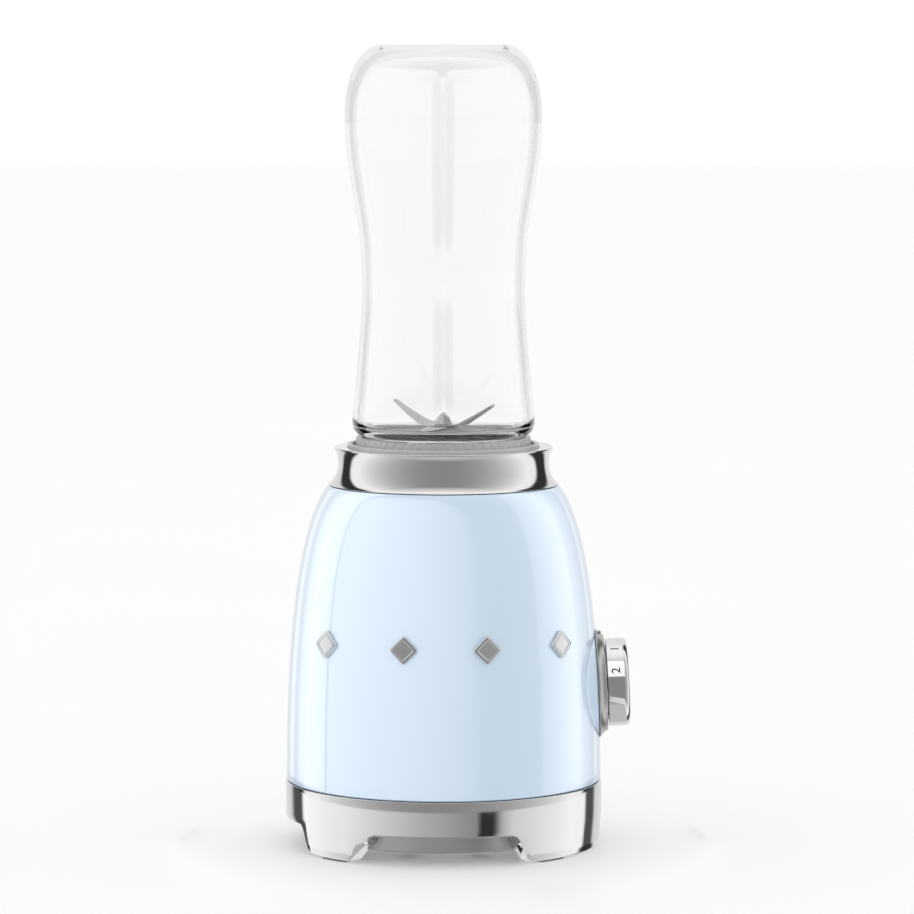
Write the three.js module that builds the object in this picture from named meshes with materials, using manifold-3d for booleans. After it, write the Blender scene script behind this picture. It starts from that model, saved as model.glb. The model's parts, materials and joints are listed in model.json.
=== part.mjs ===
// Personal countertop blender: motor base, seat cup, blade unit and inverted bottle.
// Millimetres, +Z up, front of the appliance towards -Y, origin on the ground under the box centre.
import * as THREE from 'three';
import Module from 'manifold-3d';
import { mergeVertices } from 'three/addons/utils/BufferGeometryUtils.js';

const wasm = await Module();
wasm.setup();

// ---------------------------------------------------------------- driving dimensions

const AXIS_X = -6.52;             // drive axis, so that the box with the knob is centred on x = 0
const GAP = 0.3;                  // clearance between pieces that touch
const FRONT = 0;                  // azimuths in degrees from the front, anticlockwise seen from above
const REAR = 180;
const QUARTERS = [0, 90, 180, 270];
const CORNERS = [45, 135, 225, 315];

const SIDES = { large: 32, medium: 24, small: 16, shaft: 10, pin: 8 };

const skirt = {
  radius: 71.4, footRadius: 70.6, inner: 68.4, flangeInner: 61.3,
  bottom: 0.8, flangeBottom: 13.4, flangeTop: 16, top: 29.3,
  archAtGround: 36.5, archAtTop: 29, archFillet: 4.6,
};
const screwCircle = 64.5;         // radius of the four base screws, one above each foot
const screw = {
  shank: 1.6, hole: 1.9, head: 3.1, headHole: 3.5, headBottom: 3.4, headTop: 6, seat: 6.3,
  shankTop: 36, tip: 37.5,
};
const screwPath = { bottom: 0, skirtTop: 20, plateBottom: 10, plateTop: 25, postTop: 38 };

const housing = {
  bottom: 29.6, top: 162.6, wall: 2.6, bottomRadius: 71, topRadius: 52,
  belly: [71, 78.7], shoulder: [67.7, 142.2], flange: 2.5,
  postRadius: 4.4, postBottom: 19.1, postTop: 46, segments: 7, ceilingRoom: 2, ceilingLip: 1.6,
};
const beyond = 1;                 // how far a cutter runs past the face it cuts, or a joined part sinks in
const collar = {
  inner: 43.3, bottom: 162.9, top: 180, topRadius: 49.3, bottomRadius: 51.6,
  waistHigh: [48.2, 174], waistLow: [48.4, 168], rimBevel: 0.8, innerBevel: 0.6, segments: 5,
};
const SIDEWAYS = [90, 270];
const collarScrew = {
  circle: 45.9, shank: 1.1, hole: 1.4, head: 2.2, headBottom: 155, top: 171, holeBottom: 150,
};

const drum = {
  radius: 61, wall: 2.4, bottom: 4.2, flangeRadius: 67.6, flangeBottom: 16.3, flangeTop: 18.8,
  vents: 8, ventInner: 22, ventOuter: 48, ventWidth: 4, ventAbove: 2, bevel: 1,
};
const pad = { inner: 62.9, outer: 69, halfAngle: 6, top: 2.5 };
const padPocket = { inner: 62.5, outer: 69.4, halfAngle: 6.5, top: 2.8 };
const gland = {
  height: 9, body: 3.7, bore: 2.9, flange: 4.3, flangeThick: 1.2, taper: 0.3, inside: 58.9,
  outside: 64.5, holeFrom: 50, holeTo: 66,
};
const boardRail = {
  near: 18.5, far: 23.5, back: 46, front: 53, top: 60, groove: 21, grooveBack: 48.4,
  grooveFront: 50.6, grooveBottom: 19.5,
};

const seat = {
  inner: 41, outer: 43, lip: 181.5, floorBottom: 160.5, floorTop: 163.5, wallBottom: 157,
  flangeRadius: 49.5, flangeTop: 159.7, damInner: 14.8, damOuter: 16.8, damTop: 170,
  hookInner: 39.7, hookBottom: 174, hookTop: 177, stopWidth: 3, lipBevel: 0.5,
  postCircle: 30, postRadius: 5, postBottom: 141, pinRadius: 2, pinBottom: 131,
};
const lug = {
  centre: -9, halfAngle: 3.5, radius: 40.5, bottom: 170, top: 173.5, slotHalf: 6, stopPlay: 1,
};
const lockAngle = 35;             // turn of the blade unit from lifted-in to locked
const seatRing = { inner: 28, outer: 34.5, bottom: 163.8, top: 166 };

const holder = {
  radius: 39.3, bottom: 166.3, top: 184.2, threadWall: 36.9, grooveBottom: 169, grooveInner: 31.5,
  coneEdge: 177, bossRadius: 6.5, bossTop: 184.5, recess: 20, recessCeiling: 178, hubRadius: 7,
  hubBottom: 173, bore: 4.3, innerWall: 22, innerCeiling: 176, outerWall: 29.3, outerCeiling: 174.5,
  rimBevel: 0.5,
};
const thread = {
  lead: 6, ridge: 1.4, start: 173.2, turns: 0.75, steps: 20, holderCrest: 35.7, bottleCrest: 36.4,
  flank: 0.5,
};
const ramp = { inner: 34.8, outer: 42, half: 3, clearance: 0.6, parts: 4 };
const gasketRing = { inner: 32, outer: 36.4, bottom: 169.3, top: 171.2 };

const bottle = {
  top: 360, wall: 2.3, baseThickness: 4.6, flatRadius: 28, bellyRadius: 44.4, bellyHeight: 328,
  waistRadius: 36.5, waistHeight: 252, footRadius: 41, footHeight: 193,
  neckRadius: 35.2, neckInner: 32.2, neckTop: 184.4, rim: 171.5,
  neckShoulder: [36.7, 188.4], neckInnerTop: 186.6,
  fluteDepth: 2.3, fluteHalfAngle: 7.5, fluteBunching: 0.6, fluteEase: 9, fluteInnermost: 30,
};
const flutes = [{ from: 266, to: 349 }, { from: 194, to: 251 }];

const blade = { thick: 1.2, hole: 3, hubHalf: 6.6, width: 12, tipWidth: 3.5 };
const upperBlade = { bottom: 187.2, azimuth: 68, reach: 23.8, angles: [33, 33] };
const lowerBlade = { bottom: 185.7, azimuth: 155, reach: 23.8, angles: [-12, 4] };
const spindle = {
  radius: 2.7, bottom: 167.5, top: 192.6, collar: 4.6, collarBottom: 184.8, collarThick: 0.6,
  bevel: 0.6,
};
const nut = { radius: 5, hole: 3, bottom: 188.7, thick: 3.1, sides: 6 };
const spindleSleeve = { inner: 3, outer: 4, bush: [173.3, 182.8], seal: [183.1, 184.4] };

const knobAxis = { height: 72.6, at: 69.5, tilt: 2.9 };
const boss = { radius: 24.3, face: 69.2, root: 50, cutEnd: 80 };
const switchHole = { radius: 5, from: 40, to: 80 };
const bezel = {
  back: 69.5, front: 73.3, radius: 24.6, frontRadius: 21.7, hole: 5.3, edge: 0.3, segments: 4,
  markHalf: 1.5, markBack: 0.2, markFront: 0.9,
};
const dial = {
  back: 73.9, front: 83.6, radius: 19.8, rounding: 2.7, roundingSteps: 3, edge: 0.4, bore: 3.3,
  webFront: 80.6, hub: 7, rimInner: 17,
};
const dialSpindle = { radius: 3, back: 53 };
const switchBox = {
  back: 44, front: 61, half: 12, depth: 13, bushing: 4.6, bushingFront: 70.5, bore: 3.4,
  boreFrom: 52, boreTo: 90, terminals: [-7, 0, 7], terminalHalf: 1.5, terminalLength: 5,
  terminalBottom: -6, terminalTop: -5,
};

const shaft = { radius: 3.7, bottom: 36, top: 163, bore: 4, bevel: 0.5 };
const core = {
  bottom: 83, top: 118, halfX: 27, halfY: 31, corner: 8, bore: 17.3, windowHalf: 3.3,
  windowX: 17, windowY: 21.5,
};
const armature = {
  radius: 16.8, slotRoot: 9.5, slots: 8, toothDegrees: 26, windingEnd: 7, endInner: 6,
  endOuter: 15.4, barInner: 10.4, barOuter: 15, barHalf: 7.4,
};
const coilFrame = { inner: 14, outer: 20, near: 18.5, far: 24.5, reach: 6.5, corner: 4 };
const bearing = { radius: 11, bore: 4, width: 7 };
const bolt = {
  at: 23.6, shank: 1.6, head: 3.2, hole: 1.9, bottom: 51, tubeRadius: 4.2, top: 134.8,
};
const frameHub = { hole: 12.6, lip: 1.7, lipInner: 5 };
const upperFrame = { bottom: 132, thick: 3, hub: 14, bearingBottom: 133, half: 27, corner: 8 };
const lowerFrame = {
  bottom: 54, thick: 3, hub: 14, bearingBottom: 55, halfX: 28, halfY: 29, corner: 10,
  ventCircle: 25, ventRadius: 5,
};
const brushBox = {
  half: 4.4, inner: 12.6, outer: 30, bottom: 64.8, top: 73.2, channelHalf: 3.3, channelInner: 10,
  channelOuter: 28.8, channelBottom: 65.9, channelTop: 72.1, footInner: 16, footOuter: 27,
};
const brush = { half: 3, inner: 11.6, outer: 22, bottom: 66.2, top: 71.8 };
const cushion = {
  inner: 24.8, outer: 33.2, bottom: 135.3, top: 140.7, holeFrom: 130, holeTo: 150,
};
const shaftSeal = { inner: 7.4, outer: 14.4, bottom: 160.8, top: 163.2 };
const commutator = { radius: 11, bottom: 64, top: 74, bars: 12, barDepth: 1.2, barDegrees: 24 };
const fan = {
  radius: 27, bottom: 39, plateBottom: 48, top: 50, blades: 7, hub: 8, bladeHalf: 0.7,
  bladeInner: 6,
};
const coupling = {
  radius: 12.5, wall: 1.9, hub: 7, hubBottom: 157, floorBottom: 163.4, floorTop: 166, top: 173,
  floorGap: 0.6, dogInner: 5.5, dogWidth: 45, dogSink: 0.5, wings: 3, wingRadius: 9.4,
  wingWidth: 30, wingHub: 4.4, wingBore: 3, drivenBottom: 166.5, drivenTop: 172.5, play: 5,
};
const plunger = {
  circle: 37, rod: 1.6, bottom: 140.4, top: 168, collar: 3.2, collarBottom: 150, travel: 2,
  collarThick: 1.5, bevel: 0.6, guide: 3.6, guideBottom: 152, hole: 2, holeBottom: 140,
  holeTop: 180,
};
const spring = {
  coil: 2.5, wire: 0.3, turns: 5, bottom: 138.6, room: 0.6, stepsPerTurn: 6,
};
const microswitch = { half: 10, back: 33.8, front: 40.4, bottom: 128, top: 138 };
const switchTab = { half: 6, back: 40.7, front: 42.3, bottom: 129 };
const board = {
  half: 20.5, back: 48.7, front: 50.3, bottom: 20, top: 64,
  sink: [-16, -2, 40, 49, 44, 60], sinkGaps: [-12, -8, -4.5], sinkGap: [39, 46, 43, 61],
  can: { radius: 6, from: 38, to: 49, x: 9, z: 50 }, terminals: [-14, 14, 41, 49, 24, 33],
};
const stud = {
  height: 96, size: 6.4, thick: 1.6, pin: 1.2, pinLength: 4, holeDepth: 8, corner: 1.6,
  cornerScale: 0.72, above: 2, sides: 6, leanSpan: 4,
};
const studOffsets = [-51, -17, 19, 51.5];

// ---------------------------------------------------------------- finishes

const finish = (color, roughness, metalness, extra = {}) =>
  new THREE.MeshStandardMaterial({ color, roughness, metalness, ...extra });
const finishes = {
  enamel: finish(0xc8dff2, 0.18, 0.05),
  chrome: finish(0xd8d8d8, 0.08, 1),
  satin: finish(0xbdbdbb, 0.32, 1),
  silverPlastic: finish(0xb4b5b4, 0.38, 0.3),
  greyPlastic: finish(0xa9aaac, 0.42, 0.1),
  clear: finish(0xf2f6f8, 0.05, 0, { transparent: true, opacity: 0.35 }),
  steel: finish(0xb9bbbd, 0.22, 1),
  rubber: finish(0x6a6c6e, 0.75, 0),
  darkRubber: finish(0x2b2b2c, 0.8, 0),
  darkPlastic: finish(0x2e2f31, 0.55, 0),
  zinc: finish(0x9fa3a6, 0.38, 1),
  lamination: finish(0x5c5f61, 0.5, 0.8),
  copper: finish(0xb06a3a, 0.35, 0.9),
  carbon: finish(0x1f1f20, 0.7, 0.1),
  brass: finish(0xc9a24d, 0.3, 1),
  circuit: finish(0x2f6a45, 0.6, 0),
};

// ---------------------------------------------------------------- helpers

const rad = THREE.MathUtils.degToRad;

// A point at an azimuth from the front, a radius and a height.
function around(azimuth, radius, z = 0) {
  const a = rad(azimuth);
  return new THREE.Vector3(radius * Math.sin(a), -radius * Math.cos(a), z);
}

// Shared vertices merged, slivers with a doubled corner dropped, faces turned outwards.
function closedMesh(geometry) {
  const bare = new THREE.BufferGeometry();
  bare.setAttribute('position', geometry.getAttribute('position'));
  bare.setIndex(geometry.getIndex());
  const merged = mergeVertices(bare, 1e-4);
  const index = Array.from(merged.getIndex().array);
  const position = merged.getAttribute('position');
  const corners = [new THREE.Vector3(), new THREE.Vector3(), new THREE.Vector3()];
  const kept = [];
  let volume = 0;
  for (let i = 0; i < index.length; i += 3) {
    const [a, b, c] = index.slice(i, i + 3);
    if (a === b || b === c || c === a) continue;
    kept.push(a, b, c);
    corners.forEach((corner, k) => corner.fromBufferAttribute(position, [a, b, c][k]));
    volume += corners[0].dot(corners[1].clone().cross(corners[2]));
  }
  if (volume < 0) kept.reverse();
  merged.setIndex(kept);
  return merged;
}

function solid(geometry) {
  const mesh = closedMesh(geometry);
  return new wasm.Manifold(new wasm.Mesh({
    numProp: 3,
    vertProperties: new Float32Array(mesh.getAttribute('position').array),
    triVerts: new Uint32Array(mesh.getIndex().array),
  }));
}

function toGeometry(manifold) {
  const mesh = manifold.getMesh();
  const geometry = new THREE.BufferGeometry();
  geometry.setAttribute('position', new THREE.BufferAttribute(mesh.vertProperties, 3));
  geometry.setIndex(new THREE.BufferAttribute(mesh.triVerts, 1));
  return geometry;
}

const join = (first, ...others) => others.reduce((sum, other) => sum.add(other), first);
const cut = (first, ...others) => others.reduce((rest, other) => rest.subtract(other), first);

// A profile of [radius, height] corners turned about Z; it ends on the axis or closes on itself.
function turned(profile, sides = SIDES.medium) {
  const points = profile.map(([r, z]) => new THREE.Vector2(r, z));
  if (points[0].x > 0) points.push(points[0].clone());
  return new THREE.LatheGeometry(points, sides).rotateX(Math.PI / 2);
}

// The same, turned about X: heights become distances along +X.
const turnedAlongX = (profile, sides) => turned(profile, sides).rotateY(Math.PI / 2);

function ring(inner, outer, bottom, top, sides) {
  return turned([[inner, bottom], [outer, bottom], [outer, top], [inner, top]], sides);
}

function rod(radius, bottom, top, sides = SIDES.shaft) {
  return turned([[0, bottom], [radius, bottom], [radius, top], [0, top]], sides);
}

const rodAlongX = (radius, from, to, sides) => rod(radius, from, to, sides).rotateY(Math.PI / 2);
const rodAlongY = (radius, from, to, sides) => rod(radius, from, to, sides).rotateX(-Math.PI / 2);

function block(x0, x1, y0, y1, z0, z1) {
  const box = new THREE.BoxGeometry(x1 - x0, y1 - y0, z1 - z0);
  return box.translate((x0 + x1) / 2, (y0 + y1) / 2, (z0 + z1) / 2);
}

function outline(points) {
  return new THREE.Shape(points.map(([x, y]) => new THREE.Vector2(x, y)));
}

function extruded(shape, depth, curveSegments = 4, steps = 1) {
  return new THREE.ExtrudeGeometry(shape, { depth, steps, curveSegments, bevelEnabled: false });
}

function roundedRectangle(halfX, halfY, corner) {
  const shape = new THREE.Shape();
  shape.absarc(halfX - corner, halfY - corner, corner, 0, Math.PI / 2);
  shape.absarc(corner - halfX, halfY - corner, corner, Math.PI / 2, Math.PI);
  shape.absarc(corner - halfX, corner - halfY, corner, Math.PI, Math.PI * 1.5);
  shape.absarc(halfX - corner, corner - halfY, corner, Math.PI * 1.5, Math.PI * 2);
  return shape;
}

function circlePath(x, y, radius, sides) {
  const points = [];
  for (let i = 0; i < sides; i += 1) {
    const a = (i / sides) * Math.PI * 2;
    points.push(new THREE.Vector2(x + radius * Math.cos(a), y + radius * Math.sin(a)));
  }
  return new THREE.Path(points);
}

// Straight geometry wrapped around Z: place(x, y, z) gives [azimuth, radius, height].
function wrapped(geometry, place) {
  const position = geometry.getAttribute('position');
  for (let i = 0; i < position.count; i += 1) {
    const [azimuth, radius, z] = place(position.getX(i), position.getY(i), position.getZ(i));
    const point = around(azimuth, radius, z);
    position.setXYZ(i, point.x, point.y, point.z);
  }
  return geometry;
}

// A [radius, height] section swept from one azimuth to another, rising on the way.
function sector(section, from, to, steps = 1, rise = 0) {
  const straight = extruded(outline(section), to - from, 1, steps);
  const climb = (along) => (rise * along) / (to - from);
  return wrapped(straight, (x, y, z) => [from + z, x, y + climb(z)]);
}

function sectorBlock(r0, r1, z0, z1, from, to, steps) {
  return sector([[r0, z0], [r1, z0], [r1, z1], [r0, z1]], from, to, steps);
}

// A flat [azimuth, height] outline pushed outwards from one radius to another.
function radialPrism(shape, r0, r1, curveSegments = 4) {
  const straight = extruded(shape, r1 - r0, curveSegments);
  return wrapped(straight, (x, y, z) => [x, r0 + z, y]);
}

function bezier(points, count) {
  const curve = new THREE.CubicBezierCurve(...points.map(([x, y]) => new THREE.Vector2(x, y)));
  return curve.getPoints(count).map((p) => [p.x, p.y]);
}

// Teeth of one radius with gaps of another, around a centre hole.
function toothed(teeth, radius, root, toothDegrees, hole, height, bottom) {
  const points = [];
  for (let i = 0; i < teeth; i += 1) {
    const middle = (i * 360) / teeth;
    const half = toothDegrees / 2;
    const step = 180 / teeth;
    points.push(around(middle - half, root), around(middle - half, radius));
    points.push(around(middle, radius));
    points.push(around(middle + half, radius), around(middle + half, root));
    points.push(around(middle + step, root));
  }
  const shape = new THREE.Shape(points.map((p) => new THREE.Vector2(p.x, p.y)));
  shape.holes.push(circlePath(0, 0, hole, SIDES.shaft));
  return extruded(shape, height).translate(0, 0, bottom);
}

function piece(name, geometry, material) {
  const mesh = new THREE.Mesh(closedMesh(geometry), material);
  mesh.name = name;
  return mesh;
}

function placed(mesh, position, azimuth = 0) {
  mesh.position.copy(position);
  mesh.rotation.z = rad(azimuth);
  return mesh;
}

// ---------------------------------------------------------------- motor base shell

const housingCurve = [
  [housing.bottomRadius, housing.bottom], housing.belly, housing.shoulder,
  [housing.topRadius, housing.top],
];

function housingRadius(height) {
  const points = bezier(housingCurve, 60);
  const above = points.findIndex(([, z]) => z >= height);
  const [[r0, z0], [r1, z1]] = [points[above - 1], points[above]];
  return r0 + ((r1 - r0) * (height - z0)) / (z1 - z0);
}

// Axes of the dial: +X out of the wall, tilted a little upwards.
function onDialAxis(geometry) {
  geometry.translate(-knobAxis.at, 0, 0).rotateY(-rad(knobAxis.tilt));
  return geometry.translate(knobAxis.at, 0, knobAxis.height);
}

function housingShell() {
  const outer = bezier(housingCurve, housing.segments);
  const inner = outer.map(([r, z]) => [r - housing.wall, z]);
  inner[0][1] = housing.bottom - beyond;
  const ceiling = housing.top - housing.flange;
  const cavity = inner.filter(([, z]) => z < ceiling - housing.ceilingRoom);
  const cavityEdge = housing.topRadius - housing.wall + housing.ceilingLip;
  const body = solid(turned([[0, housing.bottom], ...outer, [0, housing.top]], SIDES.large));
  const bossDisc = rodAlongX(boss.radius, boss.root, boss.face, SIDES.medium);
  const seatCut = rodAlongX(bezel.radius + GAP, boss.face, boss.cutEnd, SIDES.medium);
  const spindleHole = rodAlongX(switchHole.radius, switchHole.from, switchHole.to);
  const hollow = [[0, housing.bottom - beyond], ...cavity, [cavityEdge, ceiling], [0, ceiling]];
  let shell = cut(body.add(solid(onDialAxis(bossDisc))), solid(onDialAxis(seatCut)));
  shell = cut(shell, solid(turned(hollow, SIDES.large)), solid(onDialAxis(spindleHole)));
  const mouth = rod(collar.inner, ceiling - beyond, housing.top + beyond, SIDES.large);
  shell = cut(shell, solid(mouth), ...collarScrewHoles(housing.top + beyond));
  for (const azimuth of CORNERS) shell = join(shell, screwPost(azimuth));
  for (const azimuth of CORNERS) {
    shell = cut(shell, screwHole(azimuth, screwPath.plateBottom, screwPath.postTop));
  }
  for (const offset of studOffsets) {
    shell = cut(shell, studPin(offset, stud.pin + GAP, stud.holeDepth));
  }
  return toGeometry(shell);
}

// The post joins the wall above the skirt's top edge and stays clear of the skirt below it.
function screwPost(azimuth) {
  const at = around(azimuth, screwCircle);
  const post = rod(housing.postRadius, housing.postBottom, housing.postTop, SIDES.pin);
  const clear = skirt.inner - GAP - 0.2;
  const wall = housing.bottomRadius - beyond;
  const step = skirt.top + GAP + 0.4;
  const high = housing.postTop + beyond;
  const envelope = turned([[0, 0], [clear, 0], [clear, step], [wall, step], [wall, high],
    [0, high]], SIDES.large);
  return solid(post.translate(at.x, at.y, 0)).intersect(solid(envelope));
}

function screwHole(azimuth, from, to) {
  const at = around(azimuth, screwCircle);
  return solid(rod(screw.hole, from, to, SIDES.pin).translate(at.x, at.y, 0));
}

// Two holes for the screws that come up through the seat's flange into the collar.
function collarScrewHoles(top) {
  return SIDEWAYS.map((azimuth) => {
    const at = around(azimuth, collarScrew.circle);
    const hole = rod(collarScrew.hole, collarScrew.holeBottom, top, SIDES.pin);
    return solid(hole.translate(at.x, at.y, 0));
  });
}

function collarRing() {
  const { inner, bottom, top, topRadius, bottomRadius, rimBevel, innerBevel, segments } = collar;
  const flare = bezier([[topRadius, top - rimBevel], collar.waistHigh, collar.waistLow,
    [bottomRadius, bottom]], segments);
  const profile = [[inner, bottom], [inner, top - innerBevel], [inner + innerBevel, top],
    [topRadius - rimBevel, top], ...flare];
  const body = solid(turned(profile, SIDES.large));
  return toGeometry(cut(body, ...collarScrewHoles(collarScrew.top + GAP)));
}

// ---------------------------------------------------------------- skirt, feet and base plate

function arch() {
  const { archAtGround: wide, archAtTop: narrow, archFillet: fillet, flangeBottom: top } = skirt;
  const degreesPerMm = 180 / (Math.PI * skirt.radius);
  const shape = new THREE.Shape();
  shape.moveTo(-wide - 1, -2);
  shape.lineTo(wide + 1, -2);
  shape.lineTo(narrow, top - fillet);
  shape.quadraticCurveTo(narrow - 0.5, top, narrow - fillet * degreesPerMm, top);
  shape.lineTo(fillet * degreesPerMm - narrow, top);
  shape.quadraticCurveTo(0.5 - narrow, top, -narrow, top - fillet);
  return radialPrism(shape, 40, 105, 4);
}

function skirtRing() {
  const profile = [
    [skirt.flangeInner, skirt.bottom], [skirt.footRadius - 0.6, skirt.bottom],
    [skirt.footRadius, skirt.bottom + 0.8], [skirt.radius, skirt.flangeTop],
    [skirt.radius, skirt.top], [skirt.inner, skirt.top], [skirt.inner, skirt.flangeTop],
    [skirt.flangeInner, skirt.flangeTop],
  ];
  let body = solid(turned(profile, SIDES.large));
  for (const azimuth of QUARTERS) body = cut(body, solid(arch()).rotate([0, 0, azimuth]));
  for (const azimuth of CORNERS) {
    const { inner, outer, halfAngle, top } = padPocket;
    const pocket = sectorBlock(inner, outer, -beyond, top, azimuth - halfAngle,
      azimuth + halfAngle, 2);
    const at = around(azimuth, screwCircle);
    const headHole = rod(screw.headHole, 0, screw.seat, SIDES.shaft).translate(at.x, at.y, 0);
    const { bottom, skirtTop } = screwPath;
    body = cut(body, solid(pocket), solid(headHole), screwHole(azimuth, bottom, skirtTop));
  }
  return toGeometry(body);
}

function legPad(azimuth) {
  const { inner, outer, halfAngle, top } = pad;
  return sectorBlock(inner, outer, 0, top, azimuth - halfAngle, azimuth + halfAngle, 2);
}

function baseScrew() {
  const { shank, head, headBottom, headTop, shankTop, tip } = screw;
  return turned([[0, headBottom], [head, headBottom], [head, headTop], [shank, headTop],
    [shank, shankTop], [0, tip]], SIDES.pin);
}

function collarScrewPiece() {
  const { head, shank, headBottom, top } = collarScrew;
  const headTop = seat.wallBottom - GAP;
  return turned([[0, headBottom], [head, headBottom], [head, headTop], [shank, headTop],
    [shank, top], [0, top]], SIDES.pin);
}

function basePlate() {
  const floor = drum.bottom + drum.wall;
  const inside = drum.radius - drum.wall;
  const profile = [
    [0, drum.bottom], [drum.radius - drum.bevel, drum.bottom],
    [drum.radius, drum.bottom + drum.bevel],
    [drum.radius, drum.flangeBottom], [drum.flangeRadius, drum.flangeBottom],
    [drum.flangeRadius, drum.flangeTop], [inside, drum.flangeTop], [inside, floor], [0, floor],
  ];
  let body = solid(turned(profile, SIDES.large));
  const half = drum.ventWidth / 2;
  for (let i = 0; i < drum.vents; i += 1) {
    const slot = block(-half, half, -drum.ventOuter, -drum.ventInner, 0, floor + drum.ventAbove);
    body = cut(body, solid(slot.rotateZ(rad((i + 0.5) * 360 / drum.vents))));
  }
  for (const azimuth of CORNERS) {
    body = cut(body, screwHole(azimuth, screwPath.plateBottom, screwPath.plateTop));
  }
  const rail = boardRail;
  const groove = solid(block(-rail.groove, rail.groove, rail.grooveBack, rail.grooveFront,
    rail.grooveBottom, rail.top + beyond));
  for (const [from, to] of [[-rail.far, -rail.near], [rail.near, rail.far]]) {
    const pillar = solid(block(from, to, rail.back, rail.front, floor - beyond, rail.top));
    body = join(body, cut(pillar, groove));
  }
  const glandHole = rodAlongY(gland.body + GAP, gland.holeFrom, gland.holeTo, SIDES.shaft);
  return toGeometry(cut(body, solid(glandHole.translate(0, 0, gland.height))));
}

function cordGland() {
  const { body, bore, flange, flangeThick, taper, inside, outside } = gland;
  const wall = drum.radius + GAP;
  return turned([[bore, inside], [body, inside], [body, wall], [flange, wall],
    [flange, wall + flangeThick], [body - taper, outside], [bore, outside]], SIDES.shaft)
    .rotateX(-Math.PI / 2).translate(0, 0, gland.height);
}

// ---------------------------------------------------------------- seat cup and interlock

function bottleSeat() {
  const s = seat;
  const profile = [
    [s.damInner, s.floorBottom], [s.inner, s.floorBottom], [s.inner, s.wallBottom],
    [s.flangeRadius, s.wallBottom], [s.flangeRadius, s.flangeTop], [s.outer, s.flangeTop],
    [s.outer, s.lip - s.lipBevel], [s.outer - s.lipBevel, s.lip], [s.inner + s.lipBevel, s.lip],
    [s.inner, s.lip - s.lipBevel], [s.inner, s.floorTop], [s.damOuter, s.floorTop],
    [s.damOuter, s.damTop], [s.damInner, s.damTop],
  ];
  let body = solid(turned(profile, SIDES.large));
  for (const quarter of QUARTERS) {
    const from = quarter + lug.centre + lug.slotHalf;
    const to = quarter + lug.centre + 90 - lug.slotHalf;
    const stop = quarter + lug.centre + lockAngle + lug.halfAngle + lug.stopPlay;
    const wall = s.inner + beyond;
    const hook = sectorBlock(s.hookInner, wall, s.hookBottom, s.hookTop, from, to, 5);
    const end = sectorBlock(s.hookInner, wall, lug.bottom, s.hookBottom + beyond, stop,
      stop + s.stopWidth);
    body = join(body, solid(hook), solid(end));
  }
  const root = s.floorBottom + beyond;
  for (const azimuth of CORNERS) {
    const at = around(azimuth, s.postCircle);
    const post = turned([[0, s.pinBottom], [s.pinRadius, s.pinBottom],
      [s.pinRadius, s.postBottom], [s.postRadius, s.postBottom], [s.postRadius, root],
      [0, root]], SIDES.pin);
    body = join(body, solid(post.translate(at.x, at.y, 0)));
  }
  const at = around(REAR, plunger.circle);
  const guide = rod(plunger.guide, plunger.guideBottom, root, SIDES.shaft);
  const tab = block(-switchTab.half, switchTab.half, switchTab.back, switchTab.front,
    switchTab.bottom, root);
  const hole = rod(plunger.hole, plunger.holeBottom, plunger.holeTop, SIDES.pin);
  body = join(body, solid(guide.translate(at.x, at.y, 0)), solid(tab));
  body = cut(body, solid(hole.translate(at.x, at.y, 0)));
  return toGeometry(cut(body, ...collarScrewHoles(s.flangeTop + beyond)));
}

function interlockPlunger() {
  const { rod: r, bottom, top, collar: wide, collarBottom, bevel } = plunger;
  const collarTop = collarBottom + plunger.collarThick;
  return turned([[0, bottom], [r, bottom], [r, collarBottom], [wide, collarBottom],
    [wide, collarTop], [r, collarTop], [r, top - bevel], [r - bevel, top], [0, top]], SIDES.pin);
}

class Helix extends THREE.Curve {
  constructor(radius, height, turns) {
    super();
    Object.assign(this, { radius, height, turns });
  }

  getPoint(t, target = new THREE.Vector3()) {
    const a = t * this.turns * Math.PI * 2;
    return target.set(this.radius * Math.cos(a), this.radius * Math.sin(a), t * this.height);
  }
}

function plungerSpring() {
  const { coil, wire, turns, bottom, room, stepsPerTurn } = spring;
  const section = new THREE.Shape().absarc(0, 0, wire, 0, Math.PI * 2);
  const path = new Helix(coil, plunger.collarBottom - room - bottom, turns);
  return new THREE.ExtrudeGeometry(section, {
    steps: turns * stepsPerTurn, curveSegments: 2, bevelEnabled: false, extrudePath: path,
  }).translate(0, 0, bottom);
}

// ---------------------------------------------------------------- blade unit

function holderBody() {
  const h = holder;
  const profile = [
    [h.bore, h.hubBottom], [h.hubRadius, h.hubBottom], [h.hubRadius, h.recessCeiling],
    [h.recess, h.recessCeiling], [h.recess, h.bottom], [h.innerWall, h.bottom],
    [h.innerWall, h.innerCeiling], [h.outerWall, h.outerCeiling], [h.outerWall, h.bottom],
    [h.radius, h.bottom], [h.radius, h.top - h.rimBevel], [h.radius - h.rimBevel, h.top],
    [h.threadWall, h.top], [h.threadWall, h.grooveBottom],
    [h.grooveInner, h.grooveBottom], [h.grooveInner, h.coneEdge], [h.bossRadius, h.bossTop],
    [h.bore, h.bossTop],
  ];
  let body = solid(turned(profile, SIDES.large));
  for (const quarter of QUARTERS) {
    const middle = quarter + lug.centre;
    const wing = sectorBlock(h.radius - beyond, lug.radius, lug.bottom, lug.top,
      middle - lug.halfAngle, middle + lug.halfAngle, 2);
    body = join(body, solid(wing));
  }
  const root = h.threadWall + beyond;
  const half = thread.ridge / 2;
  const wide = half + thread.flank;
  const crest = thread.holderCrest;
  const ridge = [[root, -wide], [root, wide], [crest, half], [crest, -half]];
  const lifted = ridge.map(([r, z]) => [r, z + thread.start + thread.lead / 2]);
  body = join(body, helixRidge(lifted));
  return toGeometry(cut(body, solid(plungerRamp())));
}

// One turn of thread, with the flanks given as a section at its lower end.
function helixRidge(section) {
  const degrees = 360 * thread.turns;
  return solid(sector(section, FRONT, degrees, thread.steps, thread.lead * thread.turns));
}

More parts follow.
